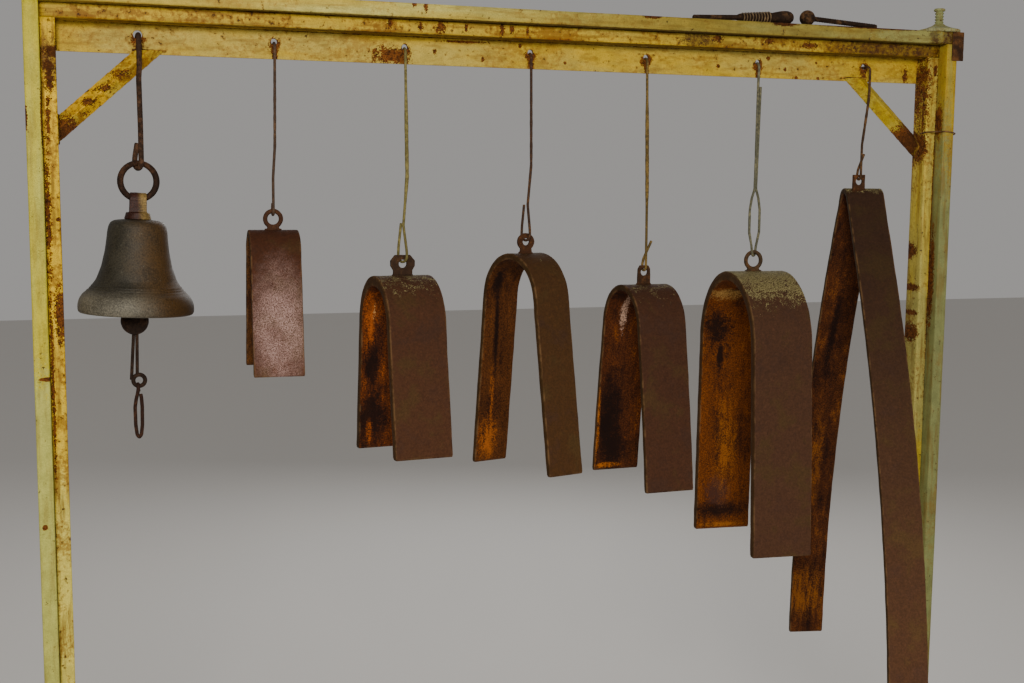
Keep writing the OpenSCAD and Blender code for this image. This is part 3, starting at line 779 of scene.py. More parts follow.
def right_outer_paint():
    return paint_material(
        "right_outer_paint", (0.31, 0.205, 0.008), (0.19, 0.20, 0.068), (0.25, 0.08, 0.5, 0.35, 0.4), UP_RUN,
        side_spots(1742, 4, (-16, 1723, 14, 36, 0.9), (-14, 1400, 10, 115, 0.9)),
        pale=side_spots(1742, 60, (-22, 900, 60, 700, 0.4, 0.4)), tones=("Z", (1500, 0.92), (1800, 1.12)))


def right_inner_paint():
    return paint_material(
        "right_inner_paint", (0.50, 0.36, 0.028), (0.38, 0.33, 0.085), (0.35, 0.2, 0.6, 0.6, 0.5), UP_RUN,
        side_spots(1717, 8, (24, 1457, 20, 20, 0.9), (15, 1381, 26, 8, 0.9), (15, 1328, 26, 6, 0.9),
                   (15, 1286, 28, 20, 0.9), (20, 1672, 46, 34, 1.0, 0.3), (10, 1812, 40, 22, 2.2, 0.5),
                   (34, 1768, 5, 70, 1.6, 0.4), (2, 1740, 4, 60, 1.6, 0.4), (18, 1776, 40, 66, 3.0, 0.6))
        + front_spots(INNER_Y, 8, (1741, 1500, 3, 330, 0.9))
        + front_spots(INNER_Y, 10, (1734, 1823, 5, 12, 0.6)),
        pale=side_spots(1729, 60, (15, 1220, 90, 130, 0.4, 0.5)), tones=("Z", (1300, 0.84), (1600, 1.0)))


def head_outer_paint():
    return paint_material(
        "head_outer_paint", (0.38, 0.275, 0.036), (0.42, 0.39, 0.11), (0.32, 0.14, 0.5, 0.45, 0.5),
        ALONG_RUN,
        front_spots(FRONT, 20, (634, 1899, 5, 6, 0.8), (655, 1896, 4, 11, 0.9))
        + front_spots(FRONT, 30, (1090, 1899, 20, 5, 0.8), (1370, 1899, 30, 6, 0.8),
                      (1560, 1900, 120, 3, 0.8)),
        front_spots(FRONT, 30, (1745, 1886, 14, 24, 0.8, 0.3))
        + front_spots(FRONT, 20, (1711, 1888, 11, 18, 1.2, 0.3), (1722, 1876.5, 24, 3, 0.6))
        # painted shade, partly rust: a dark line along the outer head's underside
        + front_spots(-20, 18, (880, 1875, 900, 1.6, 0.4)),
        front_spots(FRONT, 20, (1655, 1890, 70, 16, 1.0, 0.4)), ("X", (500, 1.2), (1300, 0.57)))


def head_inner_paint():
    return paint_material(
        "head_inner_paint", (0.52, 0.335, 0.014), (0.45, 0.33, 0.045), (0.35, 0.27, 0.7, 0.8, 0.5),
        ALONG_RUN,
        front_spots(INNER_Y, 20, (596, 1866, 5, 10, 1.2), (651, 1862, 5, 10, 1.2),
                    (688, 1863, 11, 9, 1.5, 0.3), (736, 1864, 3, 8, 1.0), (804, 1864, 5, 11, 1.2),
                    (823, 1865, 5, 7, 1.3), (853, 1863, 3, 7, 1.0), (1241, 1867, 9, 8, 1.4, 0.3),
                    (1440, 1862, 18, 6, 1.8, 0.3), (1350, 1866, 14, 5, 1.8, 0.3)),
        front_spots(INNER_Y, 60, (1606, 1862, 120, 26, 0.9, 0.4))
        + front_spots(INNER_Y, 20, (1692, 1862, 60, 20, 0.8, 0.3), (1196, 1863, 34, 13, 1.2, 0.4))
        # painted shade, partly rust: dark lines along the inner head's underside and along its seam under the
        # outer head
        + front_spots(5, 18, (880, 1850, 900, 1.6, 0.4))
        + front_spots(INNER_Y, 6, (880, 1874.6, 900, 1.0, 0.5)),
        tones=("X", (1000, 0.96), (1250, 0.84)))


def build_portal():
    """Six tubes in their paint, with rust where the photograph shows it."""
    outer, inner = (TUBE, TUBE_D), (TUBE, TUBE_D - INNER_BACK)
    for name, paint, x, size, length in (
            ("post_left_outer", left_outer_paint, LEFT, outer, HEAD_Z),
            ("post_left_inner", left_inner_paint, LEFT + TUBE, inner, INNER_Z),
            ("post_right_outer", right_outer_paint, RIGHT - TUBE, outer, HEAD_Z),
            ("post_right_inner", right_inner_paint, RIGHT - 2 * TUBE, inner, INNER_Z)):
        build_tube(name, paint(), (x, FRONT if size is outer else INNER_Y, 0), UPRIGHT, size, length)
    build_tube("head_outer", head_outer_paint(), (LEFT, FRONT, HEAD_Z), LYING, outer[::-1], FRAME_W)
    build_tube("head_inner", head_inner_paint(), (LEFT + TUBE, INNER_Y, INNER_Z), LYING, inner[::-1],
               FRAME_W - 2 * TUBE)


def bar_paint():
    """The hanger bar's paint, rusted round its holes and under them."""
    halos = [((x, BAR_Y + 3, HOOK_Z + 4), (12, 12, 14), 0.8, 0.3) for x in HOOK_X]
    runs = [((x + 1, BAR_Y, HOOK_Z - 12), (6, 8, 20), 1.0, 0.4) for x in HOOK_X]
    spots = front_spots(BAR_Y, 10, *[(LEFT + x, z, wide, high, ragged, 0.25) for x, z, wide, high, ragged in (
        (620, 1814, 36, 17, 1.2), (757, 1844, 46, 2.5, 1.2), (700, 1825, 4, 6, 1.3), (792, 1814, 3, 5, 1.0),
        (954, 1813, 3, 3, 0.8), (864, 1841, 3, 4, 0.9), (1274, 1819, 4, 4, 1.0), (1422, 1817, 4, 4, 1.0),
        (1492, 1833, 3, 3, 0.8), (1448, 1803, 4, 3, 0.8), (1497, 1803, 4, 3, 0.8), (1383, 1838, 5, 4, 1.0),
        (1702, 1815, 6, 20, 1.4))])
    # painted shade, partly rust: a dark line along the bar's top, in the seam under the inner head
    seam_rust_and_shade = [((880, BAR_Y, 1849), (900, 10, 1.3), 0.5)]
    return paint_material("hanger_bar_paint", (0.465, 0.305, 0.016), (0.43, 0.32, 0.055),
                          (0.4, 0.16, 0.5, 0.5, 0.0), (0.3, 1, 1), halos + runs + spots, seam_rust_and_shade)


def build_bar_and_braces():
    """The hanger bar, the corner angles, their welds and the rusted plate."""
    dress("hanger_bar", bar_paint())
    left = paint_material(
        "left_brace_paint", (0.58, 0.34, 0.004), (0.50, 0.36, 0.03), (0.3, 0.26, 0.5, 0.8, 0.0),
        worn=front_spots(22, 34, (50, 1668, 20, 26, 1.2, 0.3))
        + front_spots(12, 12, (84, 1718, 22, 7, 1.6, 0.3), (104, 1742, 32, 7, 1.8, 0.3),
                      (130, 1764, 30, 8, 1.8, 0.3), (84, 1696, 9, 9, 1.4, 0.3)),
        stain_and_shade_spots=front_spots(20, 30, (42, 1656, 13, 22, 0.8, 0.3)))
    right = paint_material(
        "right_brace_paint", (0.42, 0.28, 0.006), (0.42, 0.32, 0.03), (0.4, 0.28, 0.5, 0.6, 0.0),
        worn=front_spots(22, 40, (1690, 1683, 36, 40, 0.9)),
        stain_and_shade_spots=front_spots(22, 40, (1700, 1672, 26, 32, 0.8)))
    worn_copy("brace_left_angle", "brace_left", left, "portal", "yellow_paint", 1.5, 3, 0.3)
    worn_copy("brace_right_angle", "brace_right", right, "portal", "yellow_paint", 1.5, 3, 0.3)
    plate = rust_material("rusted_plate_look", (0.030, 0.013, 0.005), (0.085, 0.034, 0.009),
                          amounts=(0.5, 0.08))
    worn_copy("corner_plate_worn", "corner_plate", plate, "portal", "rusted_plate", 0.8, 3, 0.4)
    bead_look = rust_material("weld_rust", (0.06, 0.022, 0.005), (0.28, 0.15, 0.02), amounts=(0.5, 0.1))
    foot_low, foot_high, ridge_y = 1647.2, 1694.8, 11.3
    top_near, top_far, top_z = 161, 214, 1806
    feet, tops, corners, ends = [], [], [], []
    for mirrored in (False, True):
        post, near, far = (LEFT + RIGHT - x if mirrored else x for x in (OPEN_L - 0.5, top_near, top_far))
        feet += [[(post, BAR_Y, foot_high), (post, ridge_y, BRACE_Z), (post, BAR_Y, foot_low)]]
        tops += [[(near, BAR_Y - 0.5, top_z), (far, BAR_Y - 0.5, top_z)]]
        corners += [[(post, INNER_Y + 2, INNER_Z), (post, BACK_Y, INNER_Z)]]
        ends += [[(post, BAR_Y, BAR_Z + 2), (post, BAR_Y, INNER_Z - 2)]]
    weld("brace_welds", feet + tops, 2.6, bead_look, "portal", "yellow_paint")
    weld("bar_welds", corners + ends, 2.0, bead_look, "portal", "yellow_paint")


def build_knob():
    """The fluted cap on the right post, with a ribbed stem."""
    rim_top = 7.2

    def flute(angle, radius, height):
        rim = 1.0 if 0.5 < height < rim_top and radius > 36 else 0.0
        web = clamp((18 - height) / 6) if height > rim_top and radius > 11 else 0.0
        return radius - 1.7 * rim * max(0.0, cos(48 * angle)) - 1.6 * web * max(0.0, cos(12 * angle))

    profile = [(0.5, 0), (20, 0), (36, 0), (41.2, 0.4), (42.2, 1.4)] + [(42.4, h) for h in (2, 3.2, 4.4, 5.6)]
    profile += [(41.6, 6.6), (38, 7.6), (31, 9.2), (24, 11.4), (17, 14), (12, 16.6), (9.6, 18.8)]
    profile += [(8.0 - 1.0 * cos(TAU * (h - 19) / 6), h) for h in range(20, 44)]
    profile += [(10.2, 44.4), (11.4, 45.6), (11.2, 48.4), (9.6, 49.7), (6, 50), (0.5, 50)]
    place = Matrix.Translation((RIGHT - 19.5, FRONT + TUBE_D / 2 + 4, FRAME_H))
    look = paint_material("knob_paint", (0.30, 0.29, 0.14), (0.20, 0.21, 0.08), (0.5, 0.2, 0.6, 0.5, 0.0))
    show("knob_cap", lathe(profile, place, 144, flute), look, "portal", "grey_metal", "post_knob")


def build_beaters():
    """Two spare beaters that lie on the head: a wound one and one of ribbed bar."""
    dark = rust_material("beater_dark", (0.022, 0.012, 0.007), (0.09, 0.045, 0.018), (0.30, 0.24, 0.15),
                         (0.4, 0.2), 0.5, 1.6, 0.3)
    pale = rust_material("beater_pale", (0.12, 0.08, 0.04), (0.24, 0.16, 0.08), (0.42, 0.34, 0.22),
                         (0.5, 0.3), 0.4, 1.6, 0.2)
    rib, thicker = 6.2, 0.25
    place = at((RIGHT - 580, BEATER_Y, FRAME_H + 5 + GAP), radians(90) - asin(8 / 190))
    profile = [(0.3, 0), (3.5, 0.2), (4.8, 1.5)] + [(5 - 0.15 * (i % 2), 4 + i * 3) for i in range(31)]
    profile += [(7.2, 99), (7.6, 101)]
    for i in range(11):
        base, start = 7.0 + thicker * i, 103 + i * rib
        profile += [(base - 1.4, start), (base, start + 1.6), (base, start + 4.2), (base - 1.2, start + 5.6)]
    profile += [(9.6, 172), (11.2, 181), (12.6, 190), (13, 197), (12.6, 204), (11, 209.5), (8, 213.6),
                (4, 215.6), (0.4, 216)]
    show("beater_wound", lathe(profile, place, 40), dark, "portal", "beater_steel", "beater_left")
    rings = [wire([place @ round_spot(TAU * k / 20, 8.4 + thicker * i, 106 + i * rib) for k in range(20)],
                  1.1, 8, loop=True) for i in range(10)]
    show("beater_winding", join(*rings), pale, "portal", "beater_steel")
    ball, length = 15, 158
    place = at((RIGHT - 332, BEATER_Y, FRAME_H + ball + GAP), radians(90) + asin(10 / length))
    profile = [(max(ball * sin(radians(a)), 0.3), -ball * cos(radians(a))) for a in range(0, 158, 6)]
    profile += [(5 - 0.55 * (i % 4 < 2), 14.5 + i * 1.4) for i in range(102)] + [(4.4, 157.4), (0.3, length)]
    show("beater_ball", lathe(profile, place, 48), dark, "portal", "beater_steel", "beater_right")


def build_tie_wire():
    """The loop of wire round the right post."""
    r, z = 1.5, FRAME_H - 200
    xl, xo, xr = OPEN_R - r - GAP, RIGHT - TUBE, RIGHT + r + GAP
    ys, ye = FRONT - r - GAP, BACK_Y + r + GAP
    path = [(xl, INNER_Y + 14, z - 2), (xl, INNER_Y - r - GAP, z), (xo - r - GAP, FRONT + 7, z + 1),
            (xo - r - GAP, ys, z + 1), (xo + 6, ys, z + 1), (xr - 6, ys, z - 1), (xr, ys, z - 3),
            (xr, ys + 6, z - 5), (xr, ye - 6, z - 9), (xr, ye, z - 14), (xr + 3, ye + 2, z - 34)]
    form = wire(soften(path, 1.2, 3), lambda t: 1.3 - 0.3 * (t > 0.985), 10)
    look = rust_material("tie_wire_look", (0.09, 0.045, 0.02), (0.22, 0.11, 0.04), amounts=(0.4, 0.1),
                         size=2.0)
    show("tie_wire_loop", form, look, "portal", "rusty_wire", "tie_wire")


# Wire hooks
def hook_top(x, reach, end=180):
    """The bend over the hanger bar, from the short end behind it."""
    return [(x, PIVOT_Y + reach, HOOK_Z - 6)] + arc(x, PIVOT_Y, HOOK_Z, reach, 0, end)


def hook_foot(x, z, reach, up, tip, skew=0.0):
    """The bend under a lug's rim, and the free end behind it; skew sets the bend at a slant."""
    bend = [(x - skew * cos(radians(a)), PIVOT_Y + reach * cos(radians(a)), z + reach * sin(radians(a)))
            for a in range(180, 361, 12)]
    return bend + [(x - skew + tip * 0.15, PIVOT_Y + reach + 0.5, z + up * 0.3),
                   (x - skew + tip, PIVOT_Y + reach + 1.5, z + up)]


def plain_hook(x, low_x, low_z, top, low, up, tip, skew=0.0):
    drop = HOOK_Z - low_z
    shank = [(x + (low_x - x) * 0.04, PIVOT_Y - top, HOOK_Z - drop * 0.04),
             (x + (low_x + skew - x) * 0.6 + 1.5, PIVOT_Y - top + 0.6 * (top - low), low_z + drop * 0.4),
             (low_x + skew - 1.6 * max(0.0, skew - 2), PIVOT_Y - low, low_z + 58),
             (low_x + skew, PIVOT_Y - low, low_z + 10)]
    return hook_top(x, top) + shank + hook_foot(low_x, low_z, low, up, tip, skew)


def forward_hook(x, low_x, low_z, top, low, up, tip, radius, skew=0.0):
    """A hook that reaches forward past a corner angle."""
    front = RIDGE_Y - 3 - radius
    shank = [(x, front, HOOK_Z - 45), (x + (low_x - x) * 0.3, front + 2, HOOK_Z - 62),
             (low_x + skew, PIVOT_Y - low, low_z + (HOOK_Z - low_z) * 0.3)]
    over = arc(x, front + 9, HOOK_Z + top - 9, 9, 90, 180, 6)
    return hook_top(x, top, 90) + over + shank + hook_foot(low_x, low_z, low, up, tip, skew)


def doubled_hook(x, low_x, low_z, top):
    """A hook whose wire opens into a loop at the lug and comes back up beside itself."""
    bend = [(low_x + 9 * cos(a), PIVOT_Y + 10 * cos(a), low_z + 7.4 * sin(a))
            for a in [pi + pi * i / 16 for i in range(17)]]
    loop = [(3.0, 126, -3), (10, 108, -5), (15, 84, -7), (15.5, 40, -8), (10.5, 12, -10)]
    down = [(low_x - out, PIVOT_Y + back, low_z + up) for out, up, back in loop]
    back_up = [(low_x + out, PIVOT_Y - back, low_z + up) for out, up, back in loop[::-1]]
    start, end = (x - 1, PIVOT_Y - top, HOOK_Z - 30), (x + 5, PIVOT_Y - top + 1, BAR_Z - 18)
    return hook_top(x, top) + [start] + down + bend + back_up + [end]


def cut_end(radius, t):
    """A wire's radius at a share of its length, a little smaller at its cut ends."""
    return radius * (0.82 if t < 0.002 or t > 0.998 else 1.0)


def scaly(radius, shank, t):
    """A hook's radius at a share of its length: rust has swollen the shank between its two bends."""
    swell = max(0.0, min(1.0, (t - 0.20) / 0.08, (0.62 - t) / 0.08))
    lump = 0.25 * sin(41 * t) * sin(97 * t)
    return cut_end(radius + (shank - radius) * swell + lump * swell, t)


def build_hooks():
    """The six wire hooks, each in its own shade of rust."""
    top = HOOK_IN + WIRE_R
    places = [(x, LEFT + lug.x, lug.rim, top, lug.reach + WIRE_R) for x, lug in zip(HOOK_X[1:], LUGS)]
    # Each hook's path, the radius of its swollen shank, and its two shades of rust
    hooks = [(plain_hook(*places[0], 14, 1), 2.6, (0.055, 0.032, 0.020), (0.10, 0.055, 0.028)),
             (plain_hook(*places[1], 62, 6, 6), 3.5, (0.115, 0.095, 0.030), (0.17, 0.14, 0.045)),
             (plain_hook(*places[2], 58, 5, 5), 2.6, (0.042, 0.022, 0.013), (0.085, 0.038, 0.014)),
             (plain_hook(*places[3], 50, 20, 1), 3.6, (0.085, 0.055, 0.016), (0.15, 0.095, 0.025)),
             (doubled_hook(*places[4][:4]), 2.5, (0.085, 0.082, 0.052), (0.14, 0.125, 0.07)),
             (forward_hook(*places[5], 45, 16, WIRE_R), 2.7, (0.045, 0.024, 0.012), (0.10, 0.048, 0.016))]
    for i, (path, shank, shade, bloom) in enumerate(hooks, 1):
        look = rust_material("hook_rust_%d" % i, shade, bloom, bloom, (0.45, 0.1), size=2.0)
        form = wire(soften(path, 1.6, 3), lambda t: scaly(WIRE_R, shank, t), 14)
        show("wire_hook_%d_bent" % i, form, look, "hanger_%d" % i, "rusty_wire", "wire_hook_%d" % i)


# Cast bell
LEANING = at((RING_X, PIVOT_Y, RING_Z), LEAN) @ Matrix.Translation((0, 0, -RING_Z))


def build_rod_and_ring(dark):
    """The rod that hangs from the bar, and the worn ring on it."""
    iron = rust_material("rod_iron", (0.032, 0.017, 0.010), (0.075, 0.036, 0.018), (0.14, 0.09, 0.06),
                         (0.4, 0.15), 0.5, 1.6, 0.15)
    path = forward_hook(HOOK_X[0], RING_X, RING_Z + RING_R, HOOK_IN + ROD_R, RING_WIRE + GAP + ROD_R, 34, 5,
                        ROD_R, 5)
    form = wire(soften(path, 2.0, 3), lambda t: cut_end(ROD_R, t), 20)
    show("bell_rod_bent", form, iron, "bell_hanger", "rusty_wire", "bell_rod")
    middle = Vector((RING_X, PIVOT_Y, RING_Z))
    ring = [middle + (spot - middle) * (1 - 0.035 * abs(spot.x - RING_X) / RING_R)
            for spot in circle(RING_X, PIVOT_Y, RING_Z, RING_R, 96)]
    form = wire(ring, lambda t: RING_WIRE + 0.9 * abs(cos(TAU * t)) ** 0.7, 18, loop=True)
    show("bell_ring_worn", form, dark, "ring", "rusty_wire", "bell_ring")


def build_shell():
    """The shell: a turned profile with a rolled lip and three raised lines, uneven from the cast."""
    lip_z, lines = -112, (-108.5, -112.5, -116.5)
    outline = [(22, 6), (38, 4), (44.5, 1), (48, -5), (50, -14), (51.5, -30), (54, -50), (59, -74),
               (67.5, -98), (75, -109), (80, -115.5), (83.5, -118), (90, -123.5), (94.5, -131), (97, -139),
               (97.5, -146), (97, -152), (94.5, -155.5), (91, -156), (84, -134), (73, -115), (60, -95),
               (53, -75), (47.5, -50), (44, -25), (41.5, -10), (36, -3)]
    profile = [(0.5, 6)]
    for spot in soften([(r, 0, h) for r, h in [(6, 6)] + outline + [(6, -3)]], 1.6, 4):
        raised = 0.0
        if spot.x > 72 and abs(spot.z - lip_z) < 8:
            raised = sum(1.1 * exp(-((spot.z - line) / 1.0) ** 2) for line in lines)
        profile.append((spot.x + raised, spot.z))
    profile.append((0.5, -3))

    def cast(angle, radius, height):
        return radius + 0.3 * (noise.noise(round_spot(angle, radius, height) * 0.03) - 0.5)

    place = LEANING @ Matrix.Translation((0, 0, SHOULDER_Z))
    bronze = bronze_material("dark_bronze", (0.028, 0.0245, 0.0165), (0.058, 0.027, 0.005),
                             (0.118, 0.106, 0.078), 0.15)
    form = lathe(profile, place, 120, cast)
    show("bell_shell_cast", form, bronze, "cast_bell", "bell_bronze", "bell_shell")


def build_crown():
    """The crown, a little wider at its foot than the solid."""
    brassy = bronze_material("brassy_crown", (0.030, 0.009, 0.005), (0.15, 0.095, 0.026), (0.10, 0.085, 0.05),
                             0.12, 12)

    def waisted(spot):
        middle = (LEANING @ Vector((0, 0, spot.z))).x
        height = clamp((spot.z - SHOULDER_Z) / 52)
        return Vector((middle + (spot.x - middle) * (1.06 - 0.05 * height), spot.y, spot.z))

    worn_copy("bell_crown_cast", "bell_crown", brassy, "cast_bell", "bell_bronze", 0.8, 14, 0.4, waisted)


def build_bell():
    """The cast bell with its rod, ring, crown and staple."""
    dark = rust_material("ring_iron", (0.020, 0.010, 0.006), (0.050, 0.022, 0.010), (0.10, 0.06, 0.04),
                         (0.4, 0.12), 0.5, 1.6, 0.15)
    build_rod_and_ring(dark)
    build_shell()
    build_crown()
    dress("bell_staple", dark)


def build_clapper():
    """The clapper: eye, rod, ball, two strands and the pull eye."""
    iron = rust_material("clapper_iron", (0.026, 0.015, 0.010), (0.055, 0.028, 0.015), (0.16, 0.13, 0.10),
                         (0.4, 0.15), 0.5, 1.6, 0.3)
    pin = LEANING @ Vector((0, 0, CLAP_Z))
    eye = [(3.9, -4), (4.9, -5), (8, -5), (9, -4), (9, 4), (8, 5), (4.9, 5), (3.9, 4)]
    size, strand = BALL_R - 2.6, 2.8
    ball = Vector((BALL_X, PIVOT_Y, BALL_Z - 1.8))
    turned = LEANING @ Matrix.Translation((0, 0, CLAP_Z)) @ Matrix.Rotation(pi / 2, 4, "Y")
    globe = [(max(size * sin(radians(a)), 0.4), size * cos(radians(a))) for a in range(0, 181, 4)]

    def forged(angle, radius, height):
        return radius - 0.35 * (radius > 1) * (1 + noise.noise(round_spot(angle, radius, height) * 0.1))

    left_end = Vector((EYE_X - EYE_R + 0.4, PIVOT_Y, EYE_Z + 3))
    right_end = Vector((EYE_X - 1, PIVOT_Y, EYE_Z + EYE_R - 0.4))
    parts = [hoop(eye, turned, 40),
             wire(soften([pin + (ball - pin).normalized() * 7, ball], 4, 0), ROD_R, 16),
             lathe(globe, Matrix.Translation(ball), 64, forged),
             wire(soften([ball + Vector((-1.0, 0, 0)), left_end], 4, 0), strand, 12),
             wire(soften([ball + Vector((3.4, 0, 0)), right_end], 4, 0), strand, 12),
             wire(circle(EYE_X + 2, PIVOT_Y, EYE_Z + 1.4, EYE_R - 1.4, 64), EYE_WIRE, 16, loop=True)]
    show("clapper_forged", join(*parts), iron, "clapper_body", "rusty_wire", "clapper")


def build_pull_link():
    """The long link of wire that hangs in the clapper's eye."""
    z, reach = EYE_Z - EYE_R, EYE_WIRE + GAP + WIRE_R
    bends = [(1.2, reach - 0.6, z - 8)] + arc(0, 0, z, reach, 0, 180)
    bends += [(-1.2, -reach + 0.6, z - 8), (-4, -3, z - 20), (-6, 0, z - 34), (-5.6, 0, z - 66),
              (-3.6, 0, z - 83), (0, 0, z - 88), (3.6, 0, z - 83), (5.6, 0, z - 66), (6, 0, z - 34),
              (5.2, 2.6, z - 19), (4.2, 4.6, z - 12)]
    path = soften([Vector((EYE_X, PIVOT_Y, 0)) + Vector(p) for p in bends], 1.2, 3)
    look = rust_material("pull_iron", (0.024, 0.010, 0.006), (0.055, 0.022, 0.010), amounts=(0.4, 0.05),
                         size=2.0)
    form = wire(path, lambda t: cut_end(3.1, t), 14)
    show("pull_link_bent", form, look, "pull", "rusty_wire", "pull_link")


# Bent bells
def bar_stations(bell, step=4.0):
    """Pairs of outer and inner points along a bent bell, from the front leg's end to the back's."""
    start = bell.top - bell.radius
    count = 1 if bell.curve_b == 0 else 14

    def leg(splay, curve, end):
        heights = [(start - end) * i / count for i in range(1, count + 1)]
        return [(bell.radius + splay * h - curve * 1e-4 * h * h, -h) for h in heights]

    lean_f, lean_b = atan(bell.splay_f), atan(bell.splay_b)
    angles = [lean_f + (pi - lean_b - lean_f) * i / 36 for i in range(37)]
    front = leg(bell.splay_f, bell.curve_f, bell.end_f)[::-1]
    back = leg(bell.splay_b, bell.curve_b, bell.end_b)

    def side(inset):
        reach = bell.radius - inset
        return ([(s - inset, z) for s, z in front] + [(reach * cos(a), reach * sin(a)) for a in angles]
                + [(-s + inset, z) for s, z in back])

    outer, inner = side(0), side(bell.thick)
    pairs = []
    for o0, o1, n0, n1 in zip(outer, outer[1:], inner, inner[1:]):
        parts = max(1, round(dist(o0, o1) / step))
        pairs += [tuple(((1 - k / parts) * a[0] + k / parts * b[0], (1 - k / parts) * a[1] + k / parts * b[1])
                        for a, b in ((o0, o1), (n0, n1))) for k in range(parts)]
    return pairs + [(outer[-1], inner[-1])]


def bar_section(width, thick, rim=1.8, columns=18):
    """Loop round a bar's section: place across, depth from 0 outside to 1 inside, how much it is
    an outer face, and how much an edge."""
    half, soft, near = width / 2, rim / thick, 0.3 * rim
    across = [-(half - rim)] + [(2 * i / columns - 1) * (half - rim - 2) for i in range(columns + 1)]
    face = [(u, 0.6 if abs(u) == half - rim else 0.0) for u in across + [half - rim]]
    side = [(half - near, 0.3 * soft, 0.7, 1.0), (half, soft, 0.5, 0.6), (half, 0.5, 0.5, 0.0),
            (half, 1 - soft, 0.45, 0.6), (half - near, 1 - 0.3 * soft, 0.3, 1.0)]
    return ([(u, 0.0, 1.0, edge) for u, edge in face] + side + [(u, 1.0, 0.0, edge) for u, edge in face[::-1]]
            + [(-u, *rest) for u, *rest in side[::-1]])


def build_bent_bell(index, look):
    """A bent bell with soft, uneven edges and a pitted skin, on the CAD solid's own line."""
    bell = BENT[index]
    low = min(bell.end_f, bell.end_b)
    pairs, section = bar_stations(bell), bar_section(bell.width, bell.thick)
    place = at((LEFT + bell.middle, PIVOT_Y + bell.shift, bell.top - bell.radius), -radians(bell.turn), "Z")
    rings, marks = [], {"outside": [], "edge": [], "drop": [], "crown": []}
    for station, (outer, inner) in enumerate(pairs):
        end = station in (0, len(pairs) - 1)
        inward = Vector((inner[0] - outer[0], 0, inner[1] - outer[1])).normalized()
        ring = []
        for u, depth, outside, edge in section:
            if end:
                u, depth = u * (1 - 1.6 / bell.width), 0.08 + depth * 0.84
            spot = Vector((outer[0] + (inner[0] - outer[0]) * depth, -u,
                           outer[1] + (inner[1] - outer[1]) * depth))
            seed = spot * 0.011 + Vector((index * 7, 0, 0))
            pits = 0.30 * (0.6 - noise.noise(seed * 4)) + 0.30 * (0.6 - noise.noise(seed * 13))
            spot += inward * (pits if depth < 0.5 else -0.8 * pits)
            if abs(u) > bell.width / 2 - 3:
                spot.y -= copysign(0.6 * (0.9 - noise.noise(seed * 3)), spot.y)
            spot = place @ spot
            ring.append(spot)
            marks["outside"].append(outside)
            marks["edge"].append(1.0 if end else edge)
            marks["drop"].append((bell.top - spot.z) / (bell.top - low))
            marks["crown"].append(max(0.0, -inward.z))
        rings.append(ring)
    number = index + 1
    show("bent_bell_%d_bar" % number, skin(rings), look, "bent_%d" % number, "rusty_bar",
         "bent_bell_%d" % number, **marks)


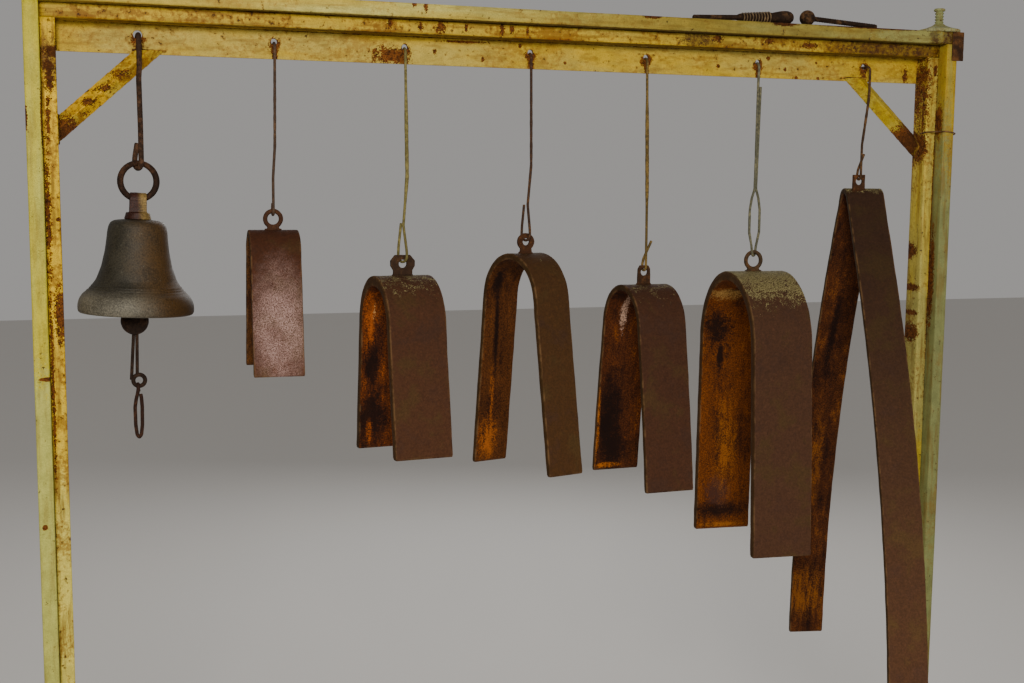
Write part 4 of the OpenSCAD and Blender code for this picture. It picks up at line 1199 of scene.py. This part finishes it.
def build_bent_bells():
    """The six bent bells; the places are read from the photograph."""
    # A look's tones are painted light that makes its outer skin lighter towards the bottom
    looks = [
        dict(name="first_bar", skin=(0.044, 0.014, 0.005), dark=DEEP_SCALE, warm=(0.06, 0.022, 0.004),
             flare=(0.12, 0.04, 0.006), lichen=0.1, tones=(0.9, 1.3),
             dust=[((392, 0, 1330), (47, 300, 105), 0.25, 0.55)]),
        dict(name="second_bar", skin=(0.049, 0.019, 0.008), dark=BLACK_SCALE, warm=(0.12, 0.028, 0.003),
             flare=(0.32, 0.07, 0.004), amounts=(0.5, 0.25), lichen=0.74, pale=(0.42, 0.22, 0.07),
             dark_patches=[((588, 104, 1240), (16, 34, 50), 0.8, 0.4), ((588, 114, 1140), (30, 30, 70), 0.7, 0.5)],
             sparks=[((582, 92, 1310), (13, 16, 55), 0.9, 0.4), ((584, 118, 1112), (6, 20, 22), 0.9, 0.5)],
             scale=[((590, 88, 1335), (4, 12, 26), 1.0)]),
        dict(name="third_bar", skin=(0.045, 0.019, 0.005), dark=DEEP_SCALE, warm=(0.066, 0.020, 0.003),
             flare=(0.32, 0.085, 0.008), amounts=(0.75, 0.0), lichen=0.5,
             dark_patches=[((838, 112, 1300), (5, 40, 110), 1.0, 0.5), ((836, 100, 1400), (12, 30, 30), 0.9, 0.5)],
             sparks=[((828, 139, 1085), (20, 30, 40), 0.9, 0.5), ((834, 128, 1170), (5, 30, 55), 0.9, 0.5)],
             scale=[((902, -98, 1106), (8, 12, 6), 0.4)]),
        dict(name="fourth_bar", skin=(0.042, 0.016, 0.007), dark=BLACK_SCALE, warm=(0.070, 0.018, 0.003),
             flare=(0.36, 0.10, 0.005), amounts=(0.62, 0.10), lichen=0.66, pale=(0.40, 0.25, 0.17),
             dark_patches=[((1086, 132, 1100), (28, 26, 115), 0.9, 0.6),
                     ((1100, 138, 1050), (30, 26, 60), 0.9, 0.5)],
             sparks=[((1084, 143, 1014), (34, 12, 6), 0.7, 0.3), ((1062, 130, 1090), (5, 30, 80), 0.9, 0.4)],
             scale=[((1103, 90, 1332), (8, 26, 42), 1.2, 0.1)]),
        dict(name="fifth_bar", skin=(0.049, 0.021, 0.010), dark=DEEP_SCALE, warm=(0.110, 0.028, 0.002),
             flare=(0.24, 0.075, 0.006), amounts=(0.85, 0.1), lichen=1.05, pale=(0.34, 0.19, 0.05),
             dark_patches=[((1352, 161, 1228), (8, 12, 34), 0.9, 0.4), ((1344, 161, 1300), (34, 12, 60), 1.6, 0.6),
                     ((1360, 168, 895), (70, 20, 20), 1.0, 0.6)],
             sparks=[((1366, 171, 862), (60, 14, 5), 0.8, 0.3), ((1374, 168, 1040), (20, 14, 90), 1.4, 0.6)],
             scale=[((1345, 122, 1366), (36, 14, 14), 1.6, 0.4)],
             haze=[((1358, 168, 935), (26, 10, 30), 1.2, 0.4)]),
        dict(name="sixth_bar", skin=(0.041, 0.018, 0.008), dark=BLACK_SCALE, warm=(0.058, 0.016, 0.003),
             flare=(0.19, 0.060, 0.006), amounts=(0.62, 0.22), lichen=0.9, tones=(0.66, 1.85),
             dark_patches=[((1628, 164, 1277), (8, 40, 130), 1.2, 0.5), ((1576, -73, 1383), (6, 30, 14), 0.6)],
             sparks=[((1650, 284, 650), (60, 30, 55), 0.8, 0.5), ((1640, 236, 900), (16, 30, 150), 1.2, 0.6)],
             scale=[((1615, 12, 1564), (8, 12, 5), 0.4)])]
    for index, values in enumerate(looks):
        build_bent_bell(index, bar_material(**values))


def build_lugs():
    """The lugs on the bent bells, each in its own shade, with a bead round its foot."""
    shades = [((0.050, 0.020, 0.009), (0.10, 0.038, 0.012)), ((0.032, 0.016, 0.008), (0.075, 0.034, 0.012)),
              ((0.042, 0.016, 0.006), (0.10, 0.036, 0.009)), ((0.034, 0.015, 0.006), (0.085, 0.034, 0.010)),
              ((0.050, 0.030, 0.015), (0.10, 0.045, 0.016)), ((0.042, 0.017, 0.006), (0.10, 0.036, 0.010))]
    for i, (lug, bell, (shade, bloom)) in enumerate(zip(LUGS, BENT, shades), 1):
        look = rust_material("lug_rust_%d" % i, shade, bloom, (0.20, 0.11, 0.05), (0.4, 0.1))
        worn_copy("lug_%d_worn" % i, "lug_%d" % i, look, "bent_%d" % i, "rusty_bar", 0.8, 4, 0.35)
        turn = radians(bell.turn)
        middle = Vector((LEFT + bell.middle, PIVOT_Y + bell.shift, 0))
        half, deep = lug.half, lug.deep
        loop = [(-half, -deep, 0), (half, -deep, 0), (half, deep, 0), (-half, deep, 0), (-half, -deep, 0)]
        path = []
        for spot in soften(loop, 2.0, 1):
            place = Vector((LEFT + lug.x + spot.x, PIVOT_Y + spot.y, 0))
            away = place - middle
            along = away.x * cos(turn) - away.y * sin(turn)
            place.z = bell.top - bell.radius + sqrt(max(bell.radius * bell.radius - along * along, 0.0))
            path.append(place)
        weld("lug_%d_weld" % i, [path], 1.8, look, "bent_%d" % i, "rusty_bar")


def dress(node_name, look):
    """A CAD solid that stays in sight gets its finish."""
    set_look(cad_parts[node_name].data, look)


set_camera()
lay_floor()
light_studio()
build_portal()
build_bar_and_braces()
build_knob()
build_beaters()
build_tie_wire()
build_hooks()
build_bell()
build_clapper()
build_pull_link()
build_bent_bells()
build_lugs()
